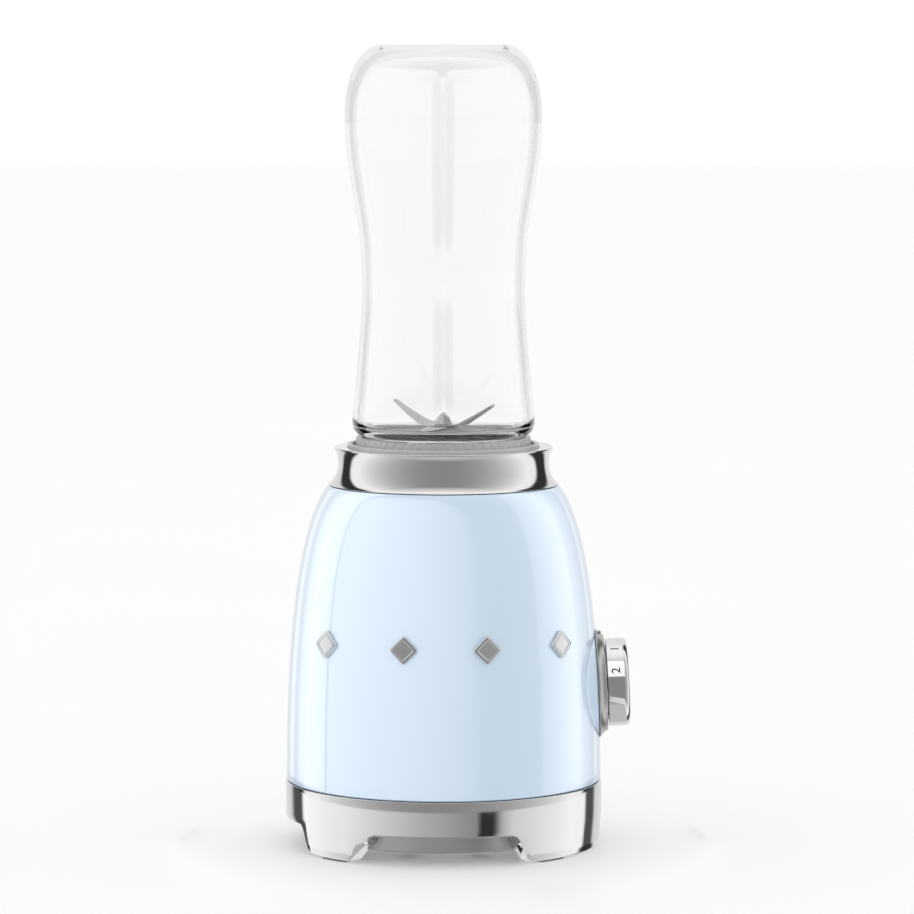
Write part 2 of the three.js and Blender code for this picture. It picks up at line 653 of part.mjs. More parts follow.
// Ramp under the rim that pushes the interlock plunger down while the unit turns to its lock.
function plungerRamp() {
  const { inner, outer, half, clearance, parts } = ramp;
  const deep = plunger.top + clearance;
  const low = holder.bottom - beyond;
  const ceiling = [[REAR + half, deep]];
  for (let i = 0; i <= parts; i += 1) {
    const turn = (lockAngle * i) / parts;
    ceiling.push([REAR - half - turn, deep - (plunger.travel * i) / parts]);
  }
  const floor = ceiling.map(([azimuth]) => [azimuth, low]).reverse();
  return radialPrism(outline([...ceiling, ...floor]), inner, outer);
}

function bladeStrip({ angles, reach }) {
  const { thick, hubHalf, width, tipWidth, hole } = blade;
  const run = reach - hubHalf;
  const [left, right] = angles.map((angle) => run * Math.tan(rad(angle)));
  const under = [[-reach, left], [-hubHalf, 0], [hubHalf, 0], [reach, right]];
  const over = under.map(([x, z]) => [x, z + thick]).reverse();
  const strip = extruded(outline([...under, ...over]), width).translate(0, 0, -width / 2);
  const position = strip.getAttribute('position');
  for (let i = 0; i < position.count; i += 1) {
    const outside = Math.max(0, Math.abs(position.getX(i)) - hubHalf) / run;
    const scale = 1 + (tipWidth / width - 1) * outside;
    const [along, up, across] = [position.getX(i), position.getY(i), position.getZ(i)];
    position.setXYZ(i, along, across * scale, up);
  }
  return toGeometry(cut(solid(strip), solid(rod(hole, -beyond, thick + beyond, SIDES.shaft))));
}

function bladeSpindle() {
  const { radius, bottom, top, collar: wide, collarBottom, collarThick, bevel } = spindle;
  const collarTop = collarBottom + collarThick;
  return turned([[0, bottom], [radius, bottom], [radius, collarBottom], [wide, collarBottom],
    [wide, collarTop], [radius, collarTop], [radius, top - bevel], [radius - bevel, top],
    [0, top]], SIDES.shaft);
}

function bladeNut() {
  const hexagon = new THREE.Shape(circlePath(0, 0, nut.radius, nut.sides).getPoints());
  hexagon.holes.push(circlePath(0, 0, nut.hole, SIDES.shaft));
  return extruded(hexagon, nut.thick).translate(0, 0, nut.bottom);
}

function drivenCoupler() {
  const { wings, wingRadius, wingHub, wingWidth, wingBore, drivenBottom, drivenTop } = coupling;
  const height = drivenTop - drivenBottom;
  return toothed(wings, wingRadius, wingHub, wingWidth, wingBore, height, drivenBottom);
}

// ---------------------------------------------------------------- bottle

const bottleOutline = {
  base: [[bottle.flatRadius, bottle.top], [37, 359.6], [43.6, 349],
    [bottle.bellyRadius, bottle.bellyHeight]],
  waist: [[bottle.bellyRadius, bottle.bellyHeight], [44.4, 300], [36.2, 283],
    [bottle.waistRadius, bottle.waistHeight]],
  foot: [[bottle.waistRadius, bottle.waistHeight], [36.6, 238], [39.6, 210],
    [bottle.footRadius, bottle.footHeight]],
  shoulder: [[bottle.footRadius, bottle.footHeight], [41.3, 187.5], [39.5, 185.2],
    [bottle.neckRadius, bottle.neckTop]],
};

function bottleProfile() {
  const { base, waist, foot, shoulder } = bottleOutline;
  const { wall, top, baseThickness, neckInner, neckRadius, rim } = bottle;
  const thinner = (points) => points.map(([r, z]) => [r - wall, z]);
  const innerBase = base.map(([r, z]) => [r - wall, z - baseThickness]);
  innerBase[3] = [bottle.bellyRadius - wall, bottle.bellyHeight];
  const outer = [
    ...bezier(base, 5), ...bezier(waist, 5).slice(1), ...bezier(foot, 4).slice(1),
    ...bezier(shoulder, 2).slice(1), [neckRadius, rim],
  ];
  const inner = [
    ...bezier(innerBase, 3), ...bezier(thinner(waist), 4).slice(1),
    ...bezier(thinner(foot), 3).slice(1), bottle.neckShoulder, [neckInner, bottle.neckInnerTop],
    [neckInner, rim],
  ];
  return [[0, top], ...outer, ...inner.reverse(), [0, top - baseThickness]];
}

// 1 in the middle of a flute's length, 0 at its ends and beyond.
function fluteAlong(height) {
  const ease = (x) => THREE.MathUtils.smoothstep(x, 0, bottle.fluteEase);
  return Math.max(...flutes.map(({ from, to }) => ease(height - from) * ease(to - height)));
}

function fluteAcross(azimuth) {
  const quarter = 90;
  const off = Math.abs(THREE.MathUtils.euclideanModulo(azimuth + quarter / 2, quarter) - quarter / 2);
  const half = bottle.fluteHalfAngle;
  return off >= half ? 0 : (1 + Math.cos((Math.PI * off) / half)) / 2;
}

function bottleBody() {
  const body = turned(bottleProfile(), SIDES.large);
  const position = body.getAttribute('position');
  for (let i = 0; i < position.count; i += 1) {
    const [x, y, z] = [position.getX(i), position.getY(i), position.getZ(i)];
    const radius = Math.hypot(x, y);
    const even = Math.atan2(x, -y);
    const bunched = even - (bottle.fluteBunching * Math.sin(4 * even)) / 4;
    const azimuth = THREE.MathUtils.radToDeg(bunched);
    const pressed = radius > bottle.fluteInnermost ? fluteAlong(z) * fluteAcross(azimuth) : 0;
    const depth = bottle.fluteDepth * pressed;
    const point = around(azimuth, radius - depth, z);
    position.setXYZ(i, point.x, point.y, point.z);
  }
  const root = bottle.neckRadius - beyond;
  const half = thread.ridge / 2;
  const wide = half + thread.flank - 0.1;
  const crest = thread.bottleCrest;
  const ridge = [[root, -wide], [crest, -half], [crest, half], [root, wide]];
  const lifted = ridge.map(([r, z]) => [r, z + thread.start]);
  return toGeometry(join(solid(body), helixRidge(lifted)));
}

// ---------------------------------------------------------------- dial

function knobBezel() {
  const { back, front, radius, frontRadius, hole, edge, segments } = bezel;
  const flare = bezier([[radius, back + edge + 0.2], [radius - 1.6, back + 1.2],
    [frontRadius + 0.5, front - 1.8], [frontRadius, front - edge + 0.1]], segments);
  const profile = [[hole, back], [radius - edge, back], ...flare, [frontRadius - edge, front],
    [hole, front]];
  const marker = block(back + bezel.markBack, front - bezel.markFront, -bezel.markHalf,
    bezel.markHalf, frontRadius - beyond, radius - bezel.markFront);
  return toGeometry(join(solid(turnedAlongX(profile, SIDES.medium)), solid(marker)));
}

function knobBody() {
  const { back, front, radius, rounding, roundingSteps, bore, webFront, hub, rimInner } = dial;
  const rounded = [];
  for (let i = 0; i <= roundingSteps; i += 1) {
    const a = (i / roundingSteps) * (Math.PI / 2);
    rounded.push([radius - rounding * (1 - Math.cos(a)), front - rounding * (1 - Math.sin(a))]);
  }
  return turnedAlongX([[bore, back], [hub, back], [hub, webFront], [rimInner, webFront],
    [rimInner, back], [radius - dial.edge, back], [radius, back + dial.edge], ...rounded,
    [0, front], [0, webFront], [bore, webFront]].reverse(), SIDES.medium);
}

function switchBody() {
  const s = switchBox;
  const box = block(s.back, s.front, -s.half, s.half, -s.depth, s.depth);
  const neck = rodAlongX(s.bushing, s.front - beyond, s.bushingFront, SIDES.shaft);
  const bore = rodAlongX(s.bore, s.boreFrom, s.boreTo, SIDES.shaft);
  const terminals = s.terminals.map((y) => solid(block(s.back - s.terminalLength, s.back + beyond,
    y - s.terminalHalf, y + s.terminalHalf, s.terminalBottom, s.terminalTop)));
  return toGeometry(cut(join(solid(box), solid(neck), ...terminals), solid(bore)));
}

// ---------------------------------------------------------------- motor

function statorCore() {
  const height = core.top - core.bottom;
  const { halfX, halfY, corner, windowHalf: half, windowX, windowY } = core;
  const [low, high] = [-beyond, height + beyond];
  let body = solid(extruded(roundedRectangle(halfX, halfY, corner), height, 3));
  body = cut(body, solid(rod(core.bore, low, high, SIDES.medium)));
  for (const x of [-1, 1]) {
    const hole = rod(bolt.hole, low, high, SIDES.pin).translate(x * bolt.at, 0, 0);
    body = cut(body, solid(hole));
    for (const y of [-1, 1]) {
      const window = block(-half, half, -half, half, low, high);
      body = cut(body, solid(window.translate(x * windowX, y * windowY, 0)));
    }
  }
  return toGeometry(body).translate(0, 0, core.bottom);
}

function fieldCoil(side) {
  const { inner, outer, near, far, reach, corner } = coilFrame;
  const middle = (core.top + core.bottom) / 2;
  const half = (core.top - core.bottom) / 2;
  const shape = roundedRectangle(outer, half + reach, corner);
  shape.holes.push(outline([[-inner, -half - GAP], [inner, -half - GAP], [inner, half + GAP],
    [-inner, half + GAP]]));
  const flat = extruded(shape, far - near, 2).rotateX(Math.PI / 2);
  return flat.translate(0, side > 0 ? far : -near, middle);
}

function armatureCore() {
  const { slots, radius, slotRoot, toothDegrees } = armature;
  const height = core.top - core.bottom;
  return toothed(slots, radius, slotRoot, toothDegrees, shaft.bore, height, core.bottom);
}

function armatureWinding() {
  const { slots, windingEnd, endInner, endOuter, barInner, barOuter, barHalf } = armature;
  const low = core.bottom - GAP;
  const high = core.top + GAP;
  let body = join(
    solid(ring(endInner, endOuter, low - windingEnd, low, SIDES.small)),
    solid(ring(endInner, endOuter, high, high + windingEnd, SIDES.small)),
  );
  for (let i = 0; i < slots; i += 1) {
    const middle = ((i + 0.5) * 360) / slots;
    const bar = sectorBlock(barInner, barOuter, low - beyond, high + beyond, middle - barHalf,
      middle + barHalf, 1);
    body = join(body, solid(bar));
  }
  return toGeometry(body);
}

function commutatorPiece() {
  const { radius, bottom, top, bars, barDepth, barDegrees } = commutator;
  return toothed(bars, radius, radius - barDepth, barDegrees, shaft.bore, top - bottom, bottom);
}

function coolingFan() {
  const { radius, bottom, plateBottom, top, blades, hub, bladeHalf, bladeInner } = fan;
  const hubBottom = bottom - 1;
  let body = solid(turned([[shaft.bore, hubBottom], [hub, hubBottom], [hub, plateBottom],
    [radius, plateBottom], [radius, top], [shaft.bore, top]], SIDES.small));
  for (let i = 0; i < blades; i += 1) {
    const vane = block(-bladeHalf, bladeHalf, bladeInner, radius - 1, bottom, plateBottom + beyond);
    body = join(body, solid(vane.rotateZ(rad((i * 360) / blades))));
  }
  return toGeometry(body);
}

function motorShaft() {
  const { radius, bottom, top, bevel } = shaft;
  return turned([[0, bottom], [radius - bevel, bottom], [radius, bottom + bevel],
    [radius, top - bevel], [radius - bevel, top], [0, top]], SIDES.shaft);
}

function bearingPiece(bottom) {
  return ring(bearing.bore, bearing.radius, bottom, bottom + bearing.width, SIDES.small);
}

function frameTubes(bottom, top) {
  return [-1, 1].map((side) => {
    const tube = ring(bolt.hole, bolt.tubeRadius, bottom, top, SIDES.pin);
    return solid(tube.translate(side * bolt.at, 0, 0));
  });
}

// A motor end frame: plate, bearing hub closed by a lip at one end, and two bolt tubes.
function endFrame(shape, bottom, thick, hub, tubes) {
  shape.holes.push(circlePath(0, 0, frameHub.hole, SIDES.small));
  for (const side of [-1, 1]) shape.holes.push(circlePath(side * bolt.at, 0, bolt.hole, SIDES.pin));
  const plate = solid(extruded(shape, thick, 2).translate(0, 0, bottom));
  return toGeometry(join(plate, solid(turned(hub, SIDES.small)), ...tubes));
}

function upperFramePiece() {
  const { bottom, thick, hub, bearingBottom, half, corner } = upperFrame;
  const shape = roundedRectangle(half, half, corner);
  for (const azimuth of CORNERS) {
    const at = around(azimuth, seat.postCircle);
    shape.holes.push(circlePath(at.x, at.y, seat.pinRadius + GAP, SIDES.pin));
  }
  const inner = bearing.radius + GAP;
  const lip = bearingBottom + bearing.width + GAP;
  const top = lip + frameHub.lip;
  const profile = [[inner, bottom], [hub, bottom], [hub, top], [frameHub.lipInner, top],
    [frameHub.lipInner, lip], [inner, lip]];
  return endFrame(shape, bottom, thick, profile, frameTubes(core.top + GAP, bottom + beyond));
}

function lowerFramePiece() {
  const { bottom, thick, hub, bearingBottom, halfX, halfY, corner } = lowerFrame;
  const shape = roundedRectangle(halfX, halfY, corner);
  for (const azimuth of CORNERS) {
    const at = around(azimuth, lowerFrame.ventCircle);
    shape.holes.push(circlePath(at.x, at.y, lowerFrame.ventRadius, SIDES.pin));
  }
  const inner = bearing.radius + GAP;
  const lip = bearingBottom - GAP;
  const top = bearingBottom + bearing.width + GAP;
  const low = lip - frameHub.lip;
  const profile = [[frameHub.lipInner, low], [hub, low], [hub, top], [inner, top], [inner, lip],
    [frameHub.lipInner, lip]];
  return endFrame(shape, bottom, thick, profile, frameTubes(bottom + beyond, core.bottom - GAP));
}

function throughBolt() {
  const { shank, head, bottom, top } = bolt;
  const headTop = lowerFrame.bottom - GAP;
  return turned([[0, bottom], [head, bottom], [head, headTop], [shank, headTop],
    [shank, top], [0, top]], SIDES.pin);
}

function brushHolder() {
  const b = brushBox;
  const tube = block(-b.half, b.half, b.inner, b.outer, b.bottom, b.top);
  const channel = block(-b.channelHalf, b.channelHalf, b.channelInner, b.channelOuter,
    b.channelBottom, b.channelTop);
  const footBottom = lowerFrame.bottom + lowerFrame.thick + GAP;
  const foot = block(-b.half, b.half, b.footInner, b.footOuter, footBottom, b.bottom + 0.2);
  return toGeometry(join(cut(solid(tube), solid(channel)), solid(foot)));
}

function motorCushion() {
  const { inner, outer, bottom, top, holeFrom, holeTo } = cushion;
  let body = solid(ring(inner, outer, bottom, top, SIDES.small));
  for (const azimuth of CORNERS) {
    const at = around(azimuth, seat.postCircle);
    const hole = rod(seat.pinRadius + GAP, holeFrom, holeTo, SIDES.pin);
    body = cut(body, solid(hole.translate(at.x, at.y, 0)));
  }
  return toGeometry(body);
}

function driveCoupling() {
  const c = coupling;
  const bore = shaft.bore;
  const cup = solid(turned([
    [0, c.floorBottom], [bore, c.floorBottom], [bore, c.hubBottom], [c.hub, c.hubBottom],
    [c.hub, c.floorBottom + c.floorGap], [c.radius, c.floorBottom + c.floorGap],
    [c.radius, c.top],
    [c.radius - c.wall, c.top], [c.radius - c.wall, c.floorTop], [0, c.floorTop],
  ], SIDES.small));
  const dogs = [];
  for (let i = 0; i < c.wings; i += 1) {
    const from = (i * 360) / c.wings + c.wingWidth / 2 + c.play + lockAngle;
    dogs.push(solid(sectorBlock(c.dogInner, c.radius - c.wall + c.dogSink, c.floorTop - c.dogSink,
      c.top - 1, from, from + c.dogWidth, 3)));
  }
  return toGeometry(join(cup, ...dogs));
}

function controlBoard() {
  const { half, back, front, bottom, top, sink, sinkGaps, sinkGap, can, terminals } = board;
  const plate = solid(block(-half, half, back, front, bottom, top));
  const gaps = sinkGaps.map((x) => solid(block(x - 1, x + 1, ...sinkGap)));
  const capacitor = rodAlongY(can.radius, can.from, can.to, SIDES.shaft).translate(can.x, 0, can.z);
  return toGeometry(join(plate, cut(solid(block(...sink)), ...gaps), solid(capacitor),
    solid(block(...terminals))));
}

// ---------------------------------------------------------------- trim studs

// Matrix of a stud: origin on the wall, +Z out of it, +Y up along it.
function studFrame(offset) {
  const radius = housingRadius(stud.height);
  const [low, high] = [stud.height - stud.leanSpan, stud.height + stud.leanSpan];
  const lean = Math.atan2(housingRadius(low) - housingRadius(high), high - low);
  const azimuth = Math.asin(offset / radius);
  const turn = new THREE.Matrix4().makeRotationZ(azimuth);
  const tip = new THREE.Matrix4().makeRotationX(Math.PI / 2 - lean);
  const at = around(THREE.MathUtils.radToDeg(azimuth), radius, stud.height);
  return new THREE.Matrix4().setPosition(at).multiply(turn).multiply(tip);
}

function studPin(offset, radius, depth) {
  return solid(rod(radius, -depth, stud.above, stud.sides).applyMatrix4(studFrame(offset)));
}

function trimStud(offset) {
  const { size, thick, corner, cornerScale, pin, pinLength } = stud;
  const half = size * cornerScale;
  const shape = roundedRectangle(half, half, corner);
  const lozenge = extruded(shape, thick, 1).rotateZ(Math.PI / 4).translate(0, 0, GAP);
  lozenge.applyMatrix4(studFrame(offset));
  return toGeometry(join(solid(lozenge), studPin(offset, pin, pinLength)));
}

// ---------------------------------------------------------------- assembly

const blender = new THREE.Group();
blender.position.x = AXIS_X;
const f = finishes;
const add = (...meshes) => blender.add(...meshes);

add(piece('housing_shell', housingShell(), f.enamel));
add(piece('collar_ring', collarRing(), f.chrome));
add(piece('skirt_ring', skirtRing(), f.chrome));
add(piece('base_plate', basePlate(), f.silverPlastic));
add(piece('cord_gland', cordGland(), f.darkRubber));
add(piece('bottle_seat', bottleSeat(), f.greyPlastic));
CORNERS.forEach((azimuth, i) => {
  add(piece(`leg_pad_${i + 1}`, legPad(azimuth), f.darkRubber));
  add(placed(piece(`base_screw_${i + 1}`, baseScrew(), f.zinc), around(azimuth, screwCircle)));
});
SIDEWAYS.forEach((azimuth, i) => {
  const at = around(azimuth, collarScrew.circle);
  add(placed(piece(`collar_screw_${i + 1}`, collarScrewPiece(), f.zinc), at));
});
studOffsets.forEach((offset, i) => add(piece(`trim_stud_${i + 1}`, trimStud(offset), f.chrome)));

const dialGroup = new THREE.Group();
dialGroup.position.set(knobAxis.at, 0, knobAxis.height);
dialGroup.rotation.y = -rad(knobAxis.tilt);
const spindleFront = dial.webFront - GAP;
const spindleRod = rodAlongX(dialSpindle.radius, dialSpindle.back, spindleFront, SIDES.shaft);
const dialParts = [
  piece('knob_bezel', knobBezel(), f.satin),
  piece('knob', knobBody(), f.chrome),
  piece('knob_spindle', spindleRod, f.steel),
  piece('switch_body', switchBody(), f.darkPlastic),
];
dialParts.forEach((mesh) => mesh.position.setX(-knobAxis.at));
dialGroup.add(...dialParts);
add(dialGroup);

const plungerAt = around(REAR, plunger.circle);
add(placed(piece('interlock_plunger', interlockPlunger(), f.greyPlastic), plungerAt));
add(placed(piece('plunger_spring', plungerSpring(), f.steel), plungerAt));
const { half: switchHalf, back: switchBack, front: switchFront } = microswitch;
const switchCase = block(-switchHalf, switchHalf, switchBack, switchFront, microswitch.bottom,
  microswitch.top);
add(piece('microswitch', switchCase, f.darkPlastic));
add(piece('control_board', controlBoard(), f.circuit));

add(piece('stator_core', statorCore(), f.lamination));
[-1, 1].forEach((side, i) => {
  const turn = side < 0 ? 0 : 180;
  add(piece(`field_coil_${i + 1}`, fieldCoil(side), f.copper));
  add(placed(piece(`brush_holder_${i + 1}`, brushHolder(), f.brass), around(0, 0), turn));
  const carbon = block(-brush.half, brush.half, brush.inner, brush.outer, brush.bottom, brush.top);
  add(placed(piece(`brush_${i + 1}`, carbon, f.carbon), around(0, 0), turn));
  add(placed(piece(`through_bolt_${i + 1}`, throughBolt(), f.zinc), around(side * 90, bolt.at)));
});
add(piece('upper_motor_frame', upperFramePiece(), f.zinc));
add(piece('lower_motor_frame', lowerFramePiece(), f.zinc));
add(piece('upper_bearing', bearingPiece(upperFrame.bearingBottom), f.steel));
add(piece('lower_bearing', bearingPiece(lowerFrame.bearingBottom), f.steel));
add(piece('motor_cushion', motorCushion(), f.darkRubber));
const { inner: sealIn, outer: sealOut, bottom: sealLow, top: sealHigh } = shaftSeal;
add(piece('shaft_seal', ring(sealIn, sealOut, sealLow, sealHigh, SIDES.small), f.darkRubber));

add(piece('motor_shaft', motorShaft(), f.steel));
add(piece('armature_core', armatureCore(), f.lamination));
add(piece('armature_winding', armatureWinding(), f.copper));
add(piece('commutator', commutatorPiece(), f.copper));
add(piece('cooling_fan', coolingFan(), f.darkPlastic));
add(piece('drive_coupling', driveCoupling(), f.darkRubber));

const { inner: ringIn, outer: ringOut, bottom: ringLow, top: ringHigh } = seatRing;
add(piece('seat_ring', ring(ringIn, ringOut, ringLow, ringHigh, SIDES.medium), f.darkRubber));
add(piece('blade_holder', holderBody(), f.greyPlastic));
const { inner: sleeveIn, outer: sleeveOut, bush, seal } = spindleSleeve;
add(piece('spindle_bush', ring(sleeveIn, sleeveOut, ...bush, SIDES.shaft), f.brass));
add(piece('spindle_seal', ring(sleeveIn, sleeveOut, ...seal, SIDES.shaft), f.rubber));
add(piece('blade_spindle', bladeSpindle(), f.steel));
const onAxis = (blueprint) => around(0, 0, blueprint.bottom);
const upper = piece('upper_blade', bladeStrip(upperBlade), f.steel);
const lower = piece('lower_blade', bladeStrip(lowerBlade), f.steel);
add(placed(upper, onAxis(upperBlade), upperBlade.azimuth - 90));
add(placed(lower, onAxis(lowerBlade), lowerBlade.azimuth - 90));
add(piece('blade_nut', bladeNut(), f.steel));
add(piece('driven_coupler', drivenCoupler(), f.darkPlastic));
const { inner: gIn, outer: gOut, bottom: gLow, top: gHigh } = gasketRing;
add(piece('gasket', ring(gIn, gOut, gLow, gHigh, SIDES.large), f.rubber));
add(piece('bottle', bottleBody(), f.clear));

export default blender;
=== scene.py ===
import json
import math

import bmesh
import bpy
from mathutils import Matrix, Vector


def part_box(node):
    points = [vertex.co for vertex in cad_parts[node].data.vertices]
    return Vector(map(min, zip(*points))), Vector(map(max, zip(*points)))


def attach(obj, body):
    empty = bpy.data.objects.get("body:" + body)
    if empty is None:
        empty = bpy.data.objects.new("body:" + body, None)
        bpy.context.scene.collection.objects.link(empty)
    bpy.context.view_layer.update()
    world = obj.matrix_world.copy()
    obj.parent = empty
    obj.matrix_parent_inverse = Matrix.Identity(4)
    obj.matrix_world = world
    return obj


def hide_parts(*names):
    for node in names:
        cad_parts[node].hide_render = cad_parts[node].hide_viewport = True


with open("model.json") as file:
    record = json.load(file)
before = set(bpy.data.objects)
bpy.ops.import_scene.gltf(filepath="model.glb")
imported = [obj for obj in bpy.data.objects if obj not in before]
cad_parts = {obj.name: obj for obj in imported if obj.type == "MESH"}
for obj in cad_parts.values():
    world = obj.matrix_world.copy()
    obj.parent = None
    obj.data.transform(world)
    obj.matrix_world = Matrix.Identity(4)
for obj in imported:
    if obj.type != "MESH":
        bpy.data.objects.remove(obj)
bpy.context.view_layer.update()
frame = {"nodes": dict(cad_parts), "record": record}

MM = 0.001

# ------------------------------------------------------------------ dimensions, millimetres

bottle_low, bottle_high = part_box("bottle")
AXIS_X = (bottle_low.x + bottle_high.x) / 2 / MM      # the drive axis stands at this x
FINE = 256                                            # sides of a large turned piece
SMALL = 96                                            # sides of a small one
CORNERS = (45, 135, 225, 315)                         # azimuths from the front, towards +X
QUARTERS = (0, 90, 180, 270)

HOUSING_CURVE = ((71, 29.6), (71, 78.7), (67.7, 142.2), (52, 162.6))
HOUSING_WALL = 2.6
COLLAR_CURVE = ((49.3, 179.4), (46.7, 175), (46.4, 168), (51.6, 162.9))
COLLAR_INNER = 43.3
SKIRT = {"radius": 71.4, "foot": 70.6, "inner": 68.4, "flange": 61.3, "bottom": 0.8,
         "flange_low": 13.4, "flange_top": 16, "top": 29.3, "arch_low": 36.5, "arch_top": 29,
         "fillet": 4.6}
DRUM = {"radius": 61, "bottom": 4.2, "wall": 2.4, "flange": 67.6, "flange_low": 16.3,
        "flange_top": 18.8}
SEAT = {"inner": 41, "outer": 43, "lip": 181.5, "floor_low": 160.5, "floor_top": 163.5}
LUG = {"centre": -9, "half": 3.5, "radius": 40.5, "low": 170, "top": 173.5, "slot": 6}
LOCK_ANGLE = 35
HOLDER_RADIUS = 39.3
THREAD = {"lead": 6, "start": 173.2, "turns": 0.75, "height": 1.15, "half": 1.15, "flank": 0.5,
          "fade": 0.03}
BOTTLE = {"wall": 2.3, "neck": 35.2, "rim": 171.5}
FLUTES = ((266, 349), (194, 251))
FLUTE_DEPTH, INNER_FLUTE_DEPTH = 2.3, 1.1
FLUTE_HALF_ANGLE = 7.5
FLUTE_END = 9                                         # the length over which a flute fades out
DIAL_AT, DIAL_HEIGHT, DIAL_TILT = 69.5, 72.6, 2.9
BOSS_RADIUS, BOSS_FACE = 24.3, 69.2
BEZEL_RADIUS = 24.6
KNOB = {"back": 73.9, "front": 83.6, "radius": 19.8, "rounding": 2.7}
DIGITS = {"1": 34, "2": 67.6}                         # each digit and its azimuth on the rim
DIGIT = {"size": 5.6, "thicken": 0.03, "depth": 0.05, "shift": 0.8}
STUD_HEIGHT = 96
STUD_OFFSETS = (-51, -17, 19, 51.5)
STUD = {"half": 6.4, "corner": 1.1, "off_wall": 0.3}
VENT = {"count": 8, "radius": 2, "near": 24, "far": 46}
PILLAR = {"near": 18.5, "far": 23.5, "back": 46, "front": 53, "low": 6, "top": 60}
GROOVE = {"half": 21, "back": 48.4, "front": 50.6, "low": 19.5, "top": 61}
GLAND_HOLE = {"radius": 4, "near": 50, "far": 66, "height": 9}
PAD = {"inner": 62.9, "outer": 69, "half": 6, "top": 2.5, "edge": 0.5}
POCKET = {"inner": 62.5, "outer": 69.4, "half": 6.5, "top": 2.8}
HOOK = {"inner": 39.7, "outer": 41.6, "low": 174, "top": 177}
LOCK_STOP = {"play": 1, "width": 3, "low": 170, "top": 174.5}
POST_CIRCLE = 30
PLUNGER_CIRCLE = 37
GRIPS = {"count": 56, "depth": 0.35, "low": 181.8, "top": 183.9}
BLADE = {"thick": 1.2, "hub": 6.6, "width": 12, "tip": 3.5, "hole": 3, "ground": 1.6}
UPPER_BLADE = {"angles": (30, 30), "reach": 27, "azimuth": 55, "bottom": 187.2}
LOWER_BLADE = {"angles": (-12, 4), "reach": 23.8, "azimuth": 155, "bottom": 185.7}
NUT = {"radius": 5, "low": 188.7, "top": 191.8}

# ------------------------------------------------------------------ mesh helpers


def around(azimuth, radius, z=0.0):
    """A point by its azimuth from the front in degrees, radius and height, round the axis."""
    a = math.radians(azimuth)
    return Vector((radius * math.sin(a), -radius * math.cos(a), z))


def bezier(points, count):
    p = [Vector(q) for q in points]
    out = []
    for i in range(count + 1):
        t = i / count
        u = 1 - t
        out.append(p[0] * u**3 + p[1] * 3 * u * u * t + p[2] * 3 * u * t * t + p[3] * t**3)
    return [(q.x, q.y) for q in out]


def rounded(corners, steps=5):
    """Corners (r, z) or (r, z, radius) of a closed profile, with arcs at those that have a radius."""
    out = []
    n = len(corners)
    for i, corner in enumerate(corners):
        here = Vector(corner[:2])
        radius = corner[2] if len(corner) > 2 else 0
        before = Vector(corners[i - 1][:2]) - here
        after = Vector(corners[(i + 1) % n][:2]) - here
        if radius <= 0 or before.length < 1e-6 or after.length < 1e-6:
            out.append((here.x, here.y))
            continue
        angle = before.angle(after)
        reach = radius / math.tan(angle / 2)
        reach = min(reach, 0.48 * before.length, 0.48 * after.length)
        start = here + before.normalized() * reach
        end = here + after.normalized() * reach
        for k in range(steps + 1):
            t = k / steps
            p = start * (1 - t) ** 2 + here * 2 * t * (1 - t) + end * t * t
            out.append((p.x, p.y))
    return out


def finish_mesh(bm, name, sharp=35, place=Matrix.Identity(4)):
    bmesh.ops.remove_doubles(bm, verts=bm.verts, dist=1e-5)
    bmesh.ops.recalc_face_normals(bm, faces=bm.faces)
    mesh = bpy.data.meshes.new(name)
    bm.to_mesh(mesh)
    bm.free()
    to_row = Matrix.Translation((AXIS_X * MM, 0, 0)) @ Matrix.Scale(MM, 4) @ place
    mesh.transform(to_row)
    return smooth(add_object(name, mesh), sharp)


def add_object(name, mesh):
    obj = bpy.data.objects.new(name, mesh)
    bpy.context.scene.collection.objects.link(obj)
    return obj


def smooth(obj, sharp=35):
    mesh = obj.data
    mesh.polygons.foreach_set("use_smooth", [True] * len(mesh.polygons))
    mesh.set_sharp_from_angle(angle=math.radians(sharp))
    mesh.update()
    return obj


def lathe_bmesh(profile, sides, shape=None, closed=True):
    """A profile of (radius, height) turned about Z. shape(azimuth, r, z, row) may move a point."""
    bm = bmesh.new()
    rows = []
    for index, (r, z) in enumerate(profile):
        if r < 1e-6:
            rows.append([bm.verts.new((0, 0, z))])
            continue
        row = []
        for k in range(sides):
            azimuth = 360 * k / sides
            rr, zz = shape(azimuth, r, z, index) if shape else (r, z)
            row.append(bm.verts.new(around(azimuth, rr, zz)))
        rows.append(row)
    pairs = list(zip(rows, rows[1:]))
    if closed:
        pairs.append((rows[-1], rows[0]))
    for low, high in pairs:
        for k in range(sides):
            n = (k + 1) % sides
            ring = [low[k % len(low)], low[n % len(low)], high[n % len(high)], high[k % len(high)]]
            face = list(dict.fromkeys(ring))
            if len(face) > 2:
                bm.faces.new(face)
    return bm


def lathe(name, profile, sides=FINE, shape=None, sharp=35, place=Matrix.Identity(4)):
    return finish_mesh(lathe_bmesh(profile, sides, shape), name, sharp, place)


def dial_matrix():
    """From a piece turned about Z to the dial's axis, which points out along +X."""
    lay = Matrix.Rotation(math.pi / 2, 4, "Y")
    tilt = Matrix.Rotation(-math.radians(DIAL_TILT), 4, "Y")
    at = Vector((DIAL_AT, 0, DIAL_HEIGHT))
    return Matrix.Translation(at) @ tilt @ Matrix.Translation((-DIAL_AT, 0, 0)) @ lay


